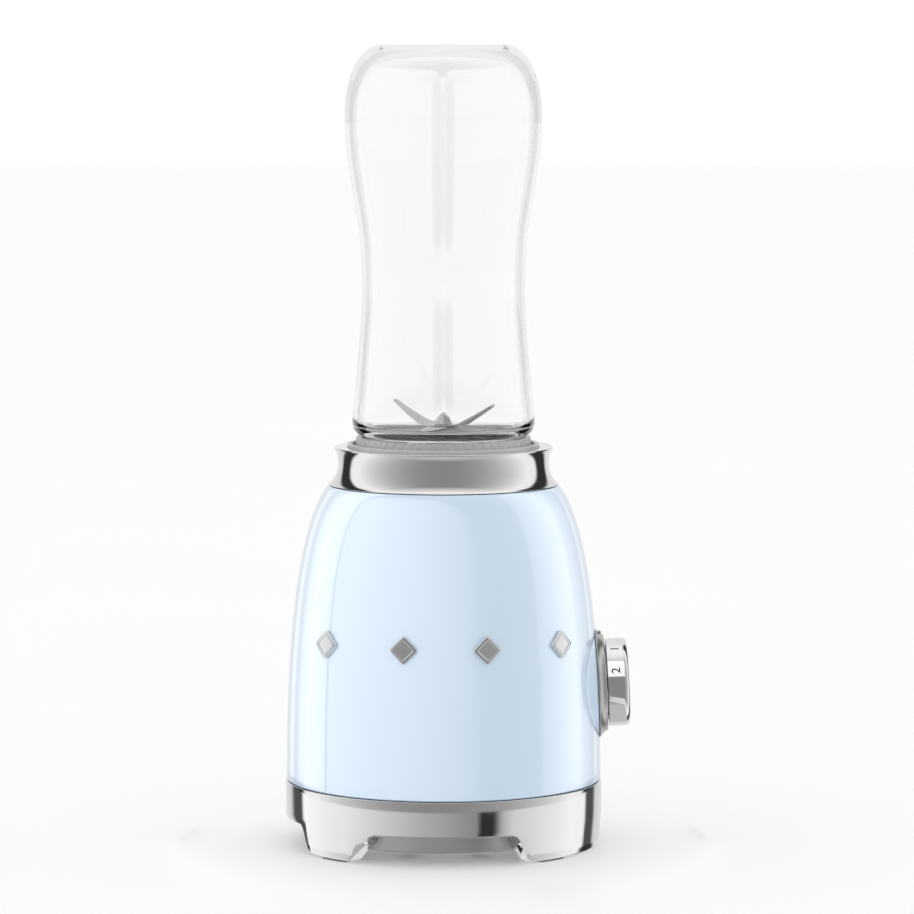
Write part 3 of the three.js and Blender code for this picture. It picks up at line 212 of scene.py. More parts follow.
def prism(name, outline, low, high, place=Matrix.Identity(4), wrap=None, rows=1):
    """A flat outline pushed from low to high. wrap(x, y, z) may bend every point."""
    bm = bmesh.new()
    rings = []
    for i in range(rows + 1):
        z = low + (high - low) * i / rows
        rings.append([bm.verts.new(wrap(x, y, z) if wrap else (x, y, z)) for x, y in outline])
    bm.faces.new(rings[0])
    bm.faces.new(rings[-1])
    for a, b in zip(rings, rings[1:]):
        for k in range(len(outline)):
            n = (k + 1) % len(outline)
            bm.faces.new((a[k], a[n], b[n], b[k]))
    return finish_mesh(bm, name, 35, place)


def rectangle(x0, x1, y0, y1):
    return [(x0, y0), (x1, y0), (x1, y1), (x0, y1)]


def sector_outline(r0, r1, start, end, steps):
    """Plan outline of a ring sector between two azimuths."""
    outer = [around(start + (end - start) * i / steps, r1).xy for i in range(steps + 1)]
    inner = [around(end + (start - end) * i / steps, r0).xy for i in range(steps + 1)]
    return [tuple(p) for p in outer + inner]


def boolean(obj, others, operation):
    for other in others:
        modifier = obj.modifiers.new("cut", "BOOLEAN")
        modifier.operation = operation
        modifier.solver = "EXACT"
        modifier.object = other
        apply_modifiers(obj)
        bpy.data.objects.remove(other)
    return smooth(obj)


def apply_modifiers(obj):
    bpy.context.view_layer.update()
    evaluated = obj.evaluated_get(bpy.context.evaluated_depsgraph_get())
    mesh = bpy.data.meshes.new_from_object(evaluated)
    obj.modifiers.clear()
    obj.data = mesh
    return obj


def bevel(obj, width, segments=2, angle=30, sharp=30):
    modifier = obj.modifiers.new("edge", "BEVEL")
    modifier.width = width * MM
    modifier.segments = segments
    modifier.limit_method = "ANGLE"
    modifier.angle_limit = math.radians(angle)
    return smooth(apply_modifiers(obj), sharp)


def dress(obj, body, slot, material, *nodes):
    obj.data.materials.clear()
    obj.data.materials.append(material)
    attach(obj, body)
    if nodes:
        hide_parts(*nodes)
    return obj


# ------------------------------------------------------------------ materials


class Finish:
    """A Principled material whose roughness, colour and bump come from object-space noise."""

    def __init__(self, name, color, roughness, metallic=0.0, **sockets):
        self.material = bpy.data.materials.new(name)
        self.material.use_nodes = True
        self.tree = self.material.node_tree
        self.shader = self.tree.nodes["Principled BSDF"]
        self.place = self.node("ShaderNodeTexCoord").outputs["Object"]
        self.set("Base Color", (*color, 1))
        self.set("Roughness", roughness)
        self.set("Metallic", metallic)
        for socket, value in sockets.items():
            self.set(socket.replace("_", " "), value)

    def node(self, kind, **values):
        node = self.tree.nodes.new(kind)
        for key, value in values.items():
            if key in node.inputs:
                node.inputs[key].default_value = value
            else:
                setattr(node, key, value)
        return node

    def set(self, socket, value):
        self.shader.inputs[socket].default_value = value

    def link(self, a, b):
        self.tree.links.new(a, b)

    def noise(self, scale, detail=3, stretch=None):
        noise = self.node("ShaderNodeTexNoise", Scale=scale, Detail=detail)
        source = self.place
        if stretch:
            mapping = self.node("ShaderNodeMapping")
            mapping.inputs["Scale"].default_value = stretch
            self.link(source, mapping.inputs["Vector"])
            source = mapping.outputs["Vector"]
        self.link(source, noise.inputs["Vector"])
        return noise.outputs["Fac"]

    def vary(self, socket, factor, low, high):
        """Drives a number socket between two values."""
        span = self.node("ShaderNodeMapRange")
        span.inputs["From Min"].default_value = 0.3
        span.inputs["From Max"].default_value = 0.7
        span.inputs["To Min"].default_value = low
        span.inputs["To Max"].default_value = high
        self.link(factor, span.inputs["Value"])
        self.link(span.outputs["Result"], self.shader.inputs[socket])
        return self

    def tint(self, factor, first, second):
        mix = self.node("ShaderNodeMix", data_type="RGBA")
        mix.inputs["A"].default_value = (*first, 1)
        mix.inputs["B"].default_value = (*second, 1)
        self.link(factor, mix.inputs["Factor"])
        self.link(mix.outputs["Result"], self.shader.inputs["Base Color"])
        return self

    def bump(self, factor, height, strength=1.0):
        bump = self.node("ShaderNodeBump", Strength=strength, Distance=height * MM)
        self.link(factor, bump.inputs["Height"])
        self.link(bump.outputs["Normal"], self.shader.inputs["Normal"])
        return self


def shade(color, factor):
    return tuple(min(1, c * factor) for c in color)


def enamel():
    color = (0.545, 0.665, 0.79)
    f = Finish("enamel_blue", color, 0.3, Coat_Weight=1.0, Coat_Roughness=0.03, Coat_IOR=1.5)
    f.tint(f.noise(9, 2), shade(color, 0.985), shade(color, 1.015))
    f.vary("Roughness", f.noise(60), 0.30, 0.32)
    return f.bump(f.noise(420, 1), 0.02, 0.15).material


def chrome():
    color = (0.80, 0.80, 0.80)
    f = Finish("chrome_plate", color, 0.06, 1.0)
    f.tint(f.noise(30), shade(color, 0.97), shade(color, 1.02))
    f.vary("Roughness", f.noise(140, 4), 0.04, 0.10)
    return f.bump(f.noise(260, 2), 0.01, 0.1).material


def satin_metal(name, color, roughness, stretch):
    """Fine brushing along one direction."""
    f = Finish(name, color, roughness, 1.0)
    brushed = f.noise(55, 4, stretch)
    f.tint(brushed, shade(color, 0.93), shade(color, 1.04))
    f.vary("Roughness", brushed, roughness - 0.06, roughness + 0.07)
    return f.bump(brushed, 0.02, 0.2).material


def moulded(name, color, roughness, grain=500, metallic=0.0):
    """Moulded plastic or rubber with a fine spark-eroded grain."""
    f = Finish(name, color, roughness, metallic)
    f.tint(f.noise(35), shade(color, 0.95), shade(color, 1.05))
    f.vary("Roughness", f.noise(90, 4), roughness - 0.05, roughness + 0.06)
    return f.bump(f.noise(grain, 2), 0.03, 0.3).material


def flank(f):
    """1 on the flanks of the bottle's flutes, where the wall turns away from the axis: the mask of the
    painted shade there.
    """
    flat = (1, 1, 0)
    outward = f.node("ShaderNodeVectorMath", operation="SUBTRACT")
    outward.inputs[1].default_value = (AXIS_X * MM, 0, 0)
    f.link(f.place, outward.inputs[0])
    directions = []
    for source in (outward.outputs[0], f.node("ShaderNodeNewGeometry").outputs["Normal"]):
        level = f.node("ShaderNodeVectorMath", operation="MULTIPLY")
        level.inputs[1].default_value = flat
        f.link(source, level.inputs[0])
        unit = f.node("ShaderNodeVectorMath", operation="NORMALIZE")
        f.link(level.outputs[0], unit.inputs[0])
        directions.append(unit.outputs[0])
    facing = f.node("ShaderNodeVectorMath", operation="DOT_PRODUCT")
    for socket, source in zip(facing.inputs, directions):
        f.link(source, socket)
    size = f.node("ShaderNodeMath", operation="ABSOLUTE")
    f.link(facing.outputs["Value"], size.inputs[0])
    span = f.node("ShaderNodeMapRange")
    span.inputs["From Min"].default_value = 1.0
    span.inputs["From Max"].default_value = 0.93
    f.link(size.outputs[0], span.inputs["Value"])
    return span.outputs["Result"]


def clear_plastic():
    """Clear plastic with painted shade on its flute flanks; a ray caught in the wall for long is let
    out, as light leaks from a real one.
    """
    f = Finish("clear_copolyester", (0.985, 0.99, 0.99), 0.02, 0.0, Transmission_Weight=1.0,
               IOR=1.5)
    # painted shade: the flute flanks are tinted grey to stand for the darker look light gives them
    # through the clear wall
    f.tint(flank(f), (0.985, 0.99, 0.99), FLANK_PAINTED_SHADE)
    f.vary("Roughness", f.noise(25, 3), 0.0, 0.03)
    f.bump(f.noise(45, 1), 0.02, 0.08)
    caught = f.node("ShaderNodeMath", operation="GREATER_THAN")
    caught.inputs[1].default_value = WALL_BOUNCES
    f.link(f.node("ShaderNodeLightPath").outputs["Ray Depth"], caught.inputs[0])
    mix = f.node("ShaderNodeMixShader")
    f.link(caught.outputs[0], mix.inputs["Fac"])
    f.link(f.shader.outputs[0], mix.inputs[1])
    f.link(f.node("ShaderNodeBsdfTransparent").outputs[0], mix.inputs[2])
    f.link(mix.outputs[0], f.tree.nodes["Material Output"].inputs["Surface"])
    return f.material


def laminated():
    """Electrical steel sheets stacked along the axis."""
    color = (0.16, 0.17, 0.18)
    f = Finish("laminated_steel", color, 0.45, 0.8)
    wave = f.node("ShaderNodeTexWave", Scale=320, Distortion=0.2, bands_direction="Z")
    f.link(f.place, wave.inputs["Vector"])
    f.tint(wave.outputs["Fac"], shade(color, 0.6), shade(color, 1.3))
    f.vary("Roughness", f.noise(120), 0.35, 0.55)
    return f.bump(wave.outputs["Fac"], 0.1, 0.5).material


def wound_copper():
    """Enamelled wire wound in fine turns."""
    color = (0.48, 0.16, 0.055)
    f = Finish("wound_copper", color, 0.3, 0.85)
    wave = f.node("ShaderNodeTexWave", Scale=500, Distortion=1.5, bands_direction="DIAGONAL")
    f.link(f.place, wave.inputs["Vector"])
    f.tint(wave.outputs["Fac"], shade(color, 0.5), shade(color, 1.3))
    f.vary("Roughness", f.noise(150), 0.25, 0.4)
    return f.bump(wave.outputs["Fac"], 0.2, 0.6).material


ROUND = (1.0, 1.0, 12.0)                 # noise squeezed in Z, so that it streaks round the axis
# the grey of the painted shade on the bottle's flute flanks
FLANK_PAINTED_SHADE = (0.87, 0.875, 0.875)
WALL_BOUNCES = 5.5
materials = {
    "enamel": enamel(),
    "chrome": chrome(),
    "satin_metal": satin_metal("satin_nickel", (0.56, 0.56, 0.55), 0.28, (1.0, 1.0, 1.0)),
    "silver_plastic": moulded("silver_plastic", (0.50, 0.50, 0.50), 0.36, 600, 0.75),
    "grey_plastic": moulded("grey_plastic", (0.54, 0.55, 0.56), 0.36, 600, 0.3),
    "clear_plastic": clear_plastic(),
    "steel": satin_metal("ground_steel", (0.60, 0.60, 0.60), 0.2, (1.0, 14.0, 1.0)),
    "zinc": satin_metal("zinc_plate", (0.42, 0.44, 0.46), 0.35, ROUND),
    "lamination": laminated(),
    "copper": wound_copper(),
    "brass": satin_metal("turned_brass", (0.62, 0.42, 0.16), 0.28, ROUND),
    "rubber_grey": moulded("silicone_grey", (0.14, 0.15, 0.155), 0.6),
    "rubber_dark": moulded("rubber_dark", (0.022, 0.022, 0.024), 0.65),
    "plastic_dark": moulded("plastic_dark", (0.03, 0.031, 0.034), 0.48),
    "carbon": moulded("carbon_graphite", (0.015, 0.015, 0.016), 0.55),
    "circuit": moulded("circuit_board", (0.022, 0.12, 0.05), 0.45),
}

# ------------------------------------------------------------------ motor base


def housing():
    outer = bezier(HOUSING_CURVE, 60)
    inner = [(r - HOUSING_WALL, z) for r, z in bezier(HOUSING_CURVE, 30) if z < 157]
    bottom = [(outer[0][0] - 0.5, outer[0][1], 0)]
    corners = [(inner[0][0], 29.6, 0.4), *bottom, (outer[0][0], outer[0][1] + 0.5, 0)]
    corners += [(r, z) for r, z in outer[1:-1]]
    corners += [(52.4, 162.0, 0), (51.8, 162.6, 0.3), (COLLAR_INNER, 162.6, 0.3)]
    corners += [(COLLAR_INNER, 160.1, 0.3), (49.4, 160.1, 1.0)]
    corners += [(r, z) for r, z in reversed(inner[1:])]
    shell = lathe("housing_body", rounded(corners, 3))
    flare = [(0, 50), (29, 50), (27.4, 60), (26.2, 64), (25.4, 66), (24.8, 67.4), (BOSS_RADIUS, 68.4),
             (BOSS_RADIUS - 0.1, 68.9), (BOSS_RADIUS - 0.4, BOSS_FACE), (0, BOSS_FACE)]
    boss = lathe("boss", flare, 128, place=dial_matrix())
    clear = lathe("clear", [(0, BOSS_FACE), (BEZEL_RADIUS + 0.3, BOSS_FACE), (BEZEL_RADIUS + 0.3, 80),
                            (0, 80)], 128, place=dial_matrix())
    inside = [(r - HOUSING_WALL, z) for r, z in bezier(HOUSING_CURVE, 40) if 31 < z < 150]
    hollow = lathe("hollow", [(0, inside[0][1]), *inside, (0, inside[-1][1])], FINE)
    hole = lathe("hole", [(0, 40), (5, 40), (5, 80), (0, 80)], 48, place=dial_matrix())
    boolean(boss, [hollow], "DIFFERENCE")
    boolean(shell, [boss], "UNION")
    boolean(shell, [clear, hole], "DIFFERENCE")
    return smooth(shell, 30)


def collar():
    flare = bezier(COLLAR_CURVE, 24)
    corners = [(COLLAR_INNER, 162.9, 0.3), (COLLAR_INNER, 180, 0.6), (49.0, 180, 0.5)]
    corners += flare[:-1]
    corners += [(51.6, 163.0, 0.15), (51.2, 162.9, 0.1)]
    return lathe("collar_chrome", rounded(corners, 5))


def arch_outline():
    """Azimuth and height of an arch between two feet, with rounded upper corners."""
    s = SKIRT
    per_mm = 180 / (math.pi * s["radius"])
    corner = s["fillet"] * per_mm
    top, low = s["arch_top"], s["arch_low"]
    right = []
    for i in range(9):
        t = i / 8
        a = (1 - t) ** 2 * top + 2 * t * (1 - t) * (top - 0.5) + t * t * (top - corner)
        z = (1 - t) ** 2 * (s["flange_low"] - s["fillet"]) + (1 - (1 - t) ** 2) * s["flange_low"]
        right.append((a, z))
    steps = 12
    flat = [(-(top - corner) + 2 * (top - corner) * i / steps, s["flange_low"])
            for i in range(1, steps)]
    left = [(-a, z) for a, z in reversed(right)]
    ground = [(-low - 1, -2), (low + 1, -2)]
    return ground + right + list(reversed(flat)) + left


def skirt():
    s = SKIRT
    corners = [
        (s["flange"], s["bottom"], 0.4), (s["foot"], s["bottom"], 0.6),
        (s["radius"], s["flange_top"], 0), (s["radius"], s["top"], 0.4),
        (s["inner"], s["top"], 0.3), (s["inner"], s["flange_top"], 0.8),
        (s["flange"], s["flange_top"], 0.4),
    ]
    body = lathe("skirt_chrome", rounded(corners, 4))
    cutters = []
    for quarter in QUARTERS:
        def bend(x, y, z, turn=quarter):
            return around(turn + x, z, y)
        cutters.append(prism("arch", arch_outline(), 40, 105, wrap=bend))
    for azimuth in CORNERS:
        start, end = azimuth - POCKET["half"], azimuth + POCKET["half"]
        outline = sector_outline(POCKET["inner"], POCKET["outer"], start, end, 6)
        cutters.append(prism("pocket", outline, -1, POCKET["top"]))
    boolean(body, cutters, "DIFFERENCE")
    return bevel(body, 0.35, 2, 50, 40)


def drum():
    d = DRUM
    inside = d["radius"] - d["wall"]
    floor = d["bottom"] + d["wall"]
    corners = [
        (0, d["bottom"]), (d["radius"], d["bottom"], 1.6), (d["radius"], d["flange_low"], 0.3),
        (d["flange"], d["flange_low"], 0.3), (d["flange"], d["flange_top"], 0.4),
        (inside, d["flange_top"], 0.4), (inside, floor, 1.2), (0, floor),
    ]
    body = lathe("base_drum", rounded(corners, 5))
    cutters = []
    ends = [(VENT["radius"] * math.cos(a), VENT["radius"] * math.sin(a))
            for a in [math.pi * k / 8 for k in range(9)]]
    outline = [(x, VENT["far"] + y) for x, y in ends] + [(-x, VENT["near"] - y) for x, y in ends]
    for i in range(VENT["count"]):
        turn = Matrix.Rotation(math.radians((i + 0.5) * 360 / VENT["count"]), 4, "Z")
        cutters.append(prism("vent", outline, 0, 10, place=turn))
    gland = Matrix.Rotation(-math.pi / 2, 4, "X")
    g = GLAND_HOLE
    hole = lathe("hole", [(0, g["near"]), (g["radius"], g["near"]), (g["radius"], g["far"]),
                          (0, g["far"])], 48, place=Matrix.Translation((0, 0, g["height"])) @ gland)
    boolean(body, [*cutters, hole], "DIFFERENCE")
    pillars = []
    for side in (-1, 1):
        x0, x1 = sorted((side * PILLAR["near"], side * PILLAR["far"]))
        outline = rectangle(x0, x1, PILLAR["back"], PILLAR["front"])
        pillar = prism("pillar", outline, PILLAR["low"], PILLAR["top"])
        slit = rectangle(-GROOVE["half"], GROOVE["half"], GROOVE["back"], GROOVE["front"])
        groove = prism("groove", slit, GROOVE["low"], GROOVE["top"])
        pillars.append(boolean(pillar, [groove], "DIFFERENCE"))
    boolean(body, pillars, "UNION")
    return bevel(body, 0.25, 2, 50, 40)


def seat_cup():
    s = SEAT
    corners = [
        (14.8, s["floor_low"]), (s["inner"], s["floor_low"]), (s["inner"], 157), (49.5, 157, 0.4),
        (49.5, 159.7, 0.4), (s["outer"], 159.7), (s["outer"], s["lip"], 0.7),
        (s["inner"], s["lip"], 0.7), (s["inner"], s["floor_top"], 1.0), (16.8, s["floor_top"], 0.6),
        (16.8, 170, 0.6), (14.8, 170, 0.6),
    ]
    body = lathe("seat_cup", rounded(corners, 4))
    added = []
    for quarter in QUARTERS:
        start = quarter + LUG["centre"] + LUG["slot"]
        end = quarter + LUG["centre"] + 90 - LUG["slot"]
        hook = sector_outline(HOOK["inner"], HOOK["outer"], start, end, 24)
        added.append(prism("hook", hook, HOOK["low"], HOOK["top"]))
        start = quarter + LUG["centre"] + LOCK_ANGLE + LUG["half"] + LOCK_STOP["play"]
        stop = sector_outline(HOOK["inner"], HOOK["outer"], start, start + LOCK_STOP["width"], 3)
        added.append(prism("stop", stop, LOCK_STOP["low"], LOCK_STOP["top"]))
    for azimuth in CORNERS:
        post = lathe("post", [(0, 131), (2, 131), (2, 141), (5, 141), (5, 161), (0, 161)], 32,
                     place=Matrix.Translation(around(azimuth, POST_CIRCLE)))
        added.append(post)
    rear = Matrix.Translation(around(180, PLUNGER_CIRCLE))
    added.append(lathe("guide", [(0, 152), (3.6, 152), (3.6, 161), (0, 161)], 32, place=rear))
    added.append(prism("tab", rectangle(-6, 6, 40.7, 42.3), 129, 161))
    boolean(body, added, "UNION")
    bore = lathe("bore", [(0, 140), (2, 140), (2, 180), (0, 180)], 32, place=rear)
    boolean(body, [bore], "DIFFERENCE")
    return smooth(body, 30)


def leg_pad(index, azimuth):
    start, end = azimuth - PAD["half"], azimuth + PAD["half"]
    outline = sector_outline(PAD["inner"], PAD["outer"], start, end, 8)
    return bevel(prism(f"foot_pad_{index}", outline, 0, PAD["top"]), PAD["edge"], 3)


# ------------------------------------------------------------------ dial and studs


def dial_bezel():
    flare = bezier(((BEZEL_RADIUS, 69.9), (23.2, 70.5), (22.1, 71.6), (21.8, 73.0)), 14)
    corners = [(5.3, 69.5), (BEZEL_RADIUS, 69.5, 0.2), *flare, (21.5, 73.3, 0.2), (18.9, 73.3, 0.2),
               (18.7, 72.9, 0.2), (5.3, 72.9)]
    body = lathe("dial_bezel", rounded(corners, 4), 160, place=dial_matrix())
    tab = [(-1.6, 21.0), (1.6, 21.0), (1.3, 23.6), (-1.3, 23.6)]
    turned = [(-y, x) for x, y in tab]
    marker = bevel(prism("marker", turned, 69.7, 72.2, place=dial_matrix()), 0.35, 3)
    return smooth(boolean(body, [marker], "UNION"), 30)


def dial_knob():
    k = KNOB
    turns = [math.pi / 2 * i / 10 for i in range(11)]
    arc = [(k["radius"] - k["rounding"] * (1 - math.cos(a)),
            k["front"] - k["rounding"] * (1 - math.sin(a))) for a in turns]
    corners = [(3.3, k["back"]), (7, k["back"], 0.3), (7, 80.6, 0.4), (17, 80.6, 0.6),
               (17, k["back"], 0.3), (k["radius"], k["back"], 0.4), *arc, (0, k["front"]),
               (0, 80.6), (3.3, 80.6)]
    return lathe("dial_knob", rounded(corners, 4), 160, place=dial_matrix())


def dial_digit(text, angle):
    """A printed digit on the knob's rim, its top towards the housing."""
    curve = bpy.data.curves.new("digit", "FONT")
    curve.body = text
    curve.size = DIGIT["size"]
    curve.align_x = "CENTER"
    curve.align_y = "CENTER"
    curve.resolution_u = 6
    curve.offset = DIGIT["thicken"]
    temporary = add_object("digit", curve)
    bpy.context.view_layer.update()
    flat = bpy.data.meshes.new_from_object(
        temporary.evaluated_get(bpy.context.evaluated_depsgraph_get()))
    bpy.data.objects.remove(temporary)
    bm = bmesh.new()
    bm.from_mesh(flat)
    bmesh.ops.remove_doubles(bm, verts=bm.verts, dist=1e-4)
    edges = [e for e in bm.edges if e.calc_length() > 0.5]
    bmesh.ops.subdivide_edges(bm, edges=edges, cuts=3)
    bmesh.ops.triangulate(bm, faces=bm.faces)
    extruded = bmesh.ops.extrude_face_region(bm, geom=bm.faces[:])
    raised = {v for v in extruded["geom"] if isinstance(v, bmesh.types.BMVert)}
    height = (KNOB["back"] + KNOB["front"]) / 2 - DIGIT["shift"]
    for v in bm.verts:
        radius = KNOB["radius"] + (DIGIT["depth"] if v in raised else -DIGIT["depth"])
        across = v.co.x / KNOB["radius"]
        theta = math.radians(angle) - across
        v.co = Vector((height - v.co.y, -radius * math.sin(theta), radius * math.cos(theta)))
    upright = Matrix.Translation((DIAL_AT, 0, DIAL_HEIGHT))
    tilt = Matrix.Rotation(-math.radians(DIAL_TILT), 4, "Y")
    back = Matrix.Translation((-DIAL_AT, 0, 0))
    return finish_mesh(bm, f"dial_digit_{text}", 35, upright @ tilt @ back)


def housing_radius(height):
    points = bezier(HOUSING_CURVE, 200)
    for (r0, z0), (r1, z1) in zip(points, points[1:]):
        if z0 <= height <= z1:
            return r0 + (r1 - r0) * (height - z0) / (z1 - z0)
    return points[-1][0]


def trim_stud(index, offset):
    """A plain raised lozenge that follows the wall's curve."""
    radius = housing_radius(STUD_HEIGHT)
    azimuth = math.degrees(math.asin(offset / radius))
    half = STUD["half"]
    corners = [(half, 0), (0, half), (-half, 0), (0, -half)]
    rim = rounded([(x, y, STUD["corner"]) for x, y in corners])
    levels = [(0.0, 1.0), (1.15, 1.0), (1.45, 0.965), (1.6, 0.90), (1.6, 0.72), (1.35, 0.66)]
    bm = bmesh.new()
    rings = []

    def on_wall(x, y, lift):
        z = STUD_HEIGHT + y
        r = housing_radius(z) + STUD["off_wall"] + lift
        return around(azimuth + math.degrees(x / radius), r, z)

    for lift, scale in levels:
        rings.append([bm.verts.new(on_wall(x * scale, y * scale, lift)) for x, y in rim])
    for a, b in zip(rings, rings[1:]):
        for k in range(len(rim)):
            n = (k + 1) % len(rim)
            bm.faces.new((a[k], a[n], b[n], b[k]))
    middle = bm.verts.new(on_wall(0, 0, levels[-1][0]))
    back = bm.verts.new(on_wall(0, 0, 0))
    for k in range(len(rim)):
        n = (k + 1) % len(rim)
        bm.faces.new((rings[-1][k], rings[-1][n], middle))
        bm.faces.new((rings[0][n], rings[0][k], back))
    return finish_mesh(bm, f"stud_{index}", 30)


# ------------------------------------------------------------------ blade unit and bottle


def eased(t):
    """From 0 to 1 with a level start and end."""
    return t * t * (3 - 2 * t)


def helical(azimuth, z, start, turns):
    """1 on the crest of the thread ridge, falling to 0 beside it and at its two ends."""
    along = azimuth / 360
    if along > turns:
        return 0.0
    off = abs(z - (start + THREAD["lead"] * along))
    ends = min(1, along / THREAD["fade"], (turns - along) / THREAD["fade"])
    beside = (THREAD["half"] - off) / THREAD["flank"]
    return eased(max(0.0, min(1.0, beside)) * max(0.0, ends))


def blade_cup():
    top = 184.2

    def shape(azimuth, r, z, row):
        if r > 39 and GRIPS["low"] < z < GRIPS["top"]:
            wave = math.cos(math.radians(azimuth * GRIPS["count"]))
            return r - GRIPS["depth"] * max(0.0, wave), z
        if 36 < r < 37 and z > 174:
            start = THREAD["start"] + THREAD["lead"] / 2
            return r - THREAD["height"] * helical(azimuth, z, start, THREAD["turns"]), z
        return r, z

    wall = [(36.9, 182.8 - 0.4 * i) for i in range(30)]
    band = [(HOLDER_RADIUS, 181.5 + 0.1 + 0.3 * i) for i in range(9)]
    corners = [
        (4.3, 173), (7, 173, 0.3), (7, 178, 0.4), (20, 178, 0.5), (20, 166.3, 0.3), (22, 166.3, 0.3),
        (22, 176, 0.5), (29.3, 174.5, 0.5), (29.3, 166.3, 0.3), (HOLDER_RADIUS, 166.3, 0.4), *band,
        (HOLDER_RADIUS, top, 0.25), (36.9, top, 0.4), *wall, (36.9, 169, 0.2), (31.5, 169, 0.2),
        (31.5, 177, 0.6), (20, 179.8, 0), (12, 182.2, 1.5), (6.9, 184.3, 0.6), (6.3, 184.5, 0.3),
        (4.3, 184.5),
    ]
    body = lathe("blade_cup", rounded(corners, 3), 448, shape)
    lugs = []
    for quarter in QUARTERS:
        middle = quarter + LUG["centre"]
        outline = sector_outline(38.6, LUG["radius"], middle - LUG["half"], middle + LUG["half"], 6)
        lugs.append(bevel(prism("lug", outline, LUG["low"], LUG["top"]), 0.3, 2))
    return smooth(boolean(body, lugs, "UNION"), 30)


def flute(azimuth, z):
    """How deep the moulded flutes are at a point: 0 to 1."""
    off = abs((azimuth + 45) % 90 - 45)
    if off >= FLUTE_HALF_ANGLE:
        return 0.0
    across = (1 + math.cos(math.pi * off / FLUTE_HALF_ANGLE)) / 2
    along = 0.0
    for low, high in FLUTES:
        ends = [max(0.0, min(1.0, d / FLUTE_END)) for d in (z - low, high - z)]
        along = max(along, min(eased(e) for e in ends))
    return across * along


def bottle_profile():
    base = ((28, 360), (37, 359.6), (44.4, 347), (44.4, 328))
    waist = ((44.4, 328), (44.4, 300), (36.2, 283), (36.5, 252))
    foot = ((36.5, 252), (36.6, 238), (39.6, 210), (41, 193))
    shoulder = ((41, 193), (41.3, 187.5), (39.5, 185.2), (35.2, 184.4))
    wall = BOTTLE["wall"]
    inner_base = ((28 - wall, 355.4), (37 - wall, 355), (44.4 - wall, 343), (44.4 - wall, 328))
    outer = bezier(base, 16) + bezier(waist, 22)[1:] + bezier(foot, 16)[1:] + bezier(shoulder, 8)[1:]
    neck = [(BOTTLE["neck"], 184.2 - 0.35 * i) for i in range(1, 34)]
    inner = bezier(inner_base, 14)
    for part, count in ((waist, 22), (foot, 16)):
        inner += [(r - wall, z) for r, z in bezier(part, count)][1:]
    inner += bezier(((38.7, 193), (38.8, 190), (37.4, 188.4), (34.0, 187.6)), 6)[1:]
    inner += bezier(((34.0, 187.6), (32.8, 187.3), (32.2, 186.6), (32.2, 185.5)), 4)[1:]
    rim = BOTTLE["rim"]
    lip = [(BOTTLE["neck"], rim + 0.4), (BOTTLE["neck"] - 0.3, rim), (32.6, rim), (32.2, rim + 0.4)]
    return [(0, 360), (12, 360), (22, 360), *outer, *neck, *lip, *reversed(inner), (18, 355.4),
            (0, 355.4)]


def bottle():
    profile = bottle_profile()
    lip = min(range(len(profile)), key=lambda i: profile[i][1])

    def shape(azimuth, r, z, row):
        if r > 30 and z > 190:
            depth = FLUTE_DEPTH if row < lip else INNER_FLUTE_DEPTH
            return r - depth * flute(azimuth, z), z
        if r > 35 and z < 184:
            return r + THREAD["height"] * helical(azimuth, z, THREAD["start"], THREAD["turns"]), z
        return r, z

    return lathe("clear_bottle", profile, 320, shape, 50)


def blade_plan(name, angles, reach, azimuth, bottom):
    """A bent strip with tapering wings, ground edges and a hole for the spindle."""
    thick, hub, width, tip = [BLADE[key] for key in ("thick", "hub", "width", "tip")]
    run = reach - hub
    left, right = [run * math.tan(math.radians(a)) for a in angles]
    line = []
    steps = 14
    for i in range(-steps, steps + 1):
        x = reach * i / steps
        outside = max(0.0, abs(x) - hub) / run
        rise = (left if x < 0 else right) * outside
        half = (width + (tip - width) * outside) / 2
        half *= 1 - 0.18 * max(0.0, outside - 0.86) / 0.14
        edge = 0.35 + 0.65 * (1 - min(1.0, outside * 1.6))
        line.append((x, rise, half, edge))
    bm = bmesh.new()
    rows = []
    for x, rise, half, edge in line:
        ground = min(BLADE["ground"], half * 0.45)
        section = [
            (half, thick * 0.5 - thick * edge * 0.5), (half, thick * 0.5 + thick * edge * 0.5 * 0.4),
            (half - ground, thick), (0, thick), (-(half - ground), thick),
            (-half, thick * 0.5 + thick * edge * 0.5 * 0.4), (-half, thick * 0.5 - thick * edge * 0.5),
            (-(half - ground * 0.6), 0), (0, 0), (half - ground * 0.6, 0),
        ]
        rows.append([bm.verts.new((x, y, rise + z)) for y, z in section])
    for a, b in zip(rows, rows[1:]):
        for k in range(len(a)):
            n = (k + 1) % len(a)
            bm.faces.new((a[k], a[n], b[n], b[k]))
    bm.faces.new(rows[0])
    bm.faces.new(rows[-1])
    place = Matrix.Translation((0, 0, bottom)) @ Matrix.Rotation(math.radians(azimuth - 90), 4, "Z")
    strip = finish_mesh(bm, name, 25, place)
    return smooth(boolean(strip, [spindle_hole(bottom - 2, bottom + 4)], "DIFFERENCE"), 25)


def spindle_hole(low, top):
    radius = BLADE["hole"]
    return lathe("hole", [(0, low), (radius, low), (radius, top), (0, top)], 48)


def hex_nut():
    radius = NUT["radius"]
    outline = [(radius * math.sin(math.pi * k / 3), radius * math.cos(math.pi * k / 3))
               for k in range(6)]
    nut = prism("hex_nut", outline, NUT["low"], NUT["top"])
    chamfer = lathe("chamfer", [(0, 188), (4.6, 188), (5.3, 189.1), (5.3, 191.2), (4.4, 192.4),
                                (0, 192.4)], SMALL)
    boolean(nut, [chamfer], "INTERSECT")
    return smooth(boolean(nut, [spindle_hole(187, 193)], "DIFFERENCE"), 30)


def spindle():
    corners = [(0, 167.5), (2.7, 167.5, 0.4), (2.7, 184.8), (4.6, 184.8, 0.15), (4.6, 185.4, 0.15),
               (2.7, 185.4), (2.7, 192.6, 0.7), (0, 192.6)]
    return lathe("blade_shaft", rounded(corners, 4), SMALL)


# ------------------------------------------------------------------ putting it together

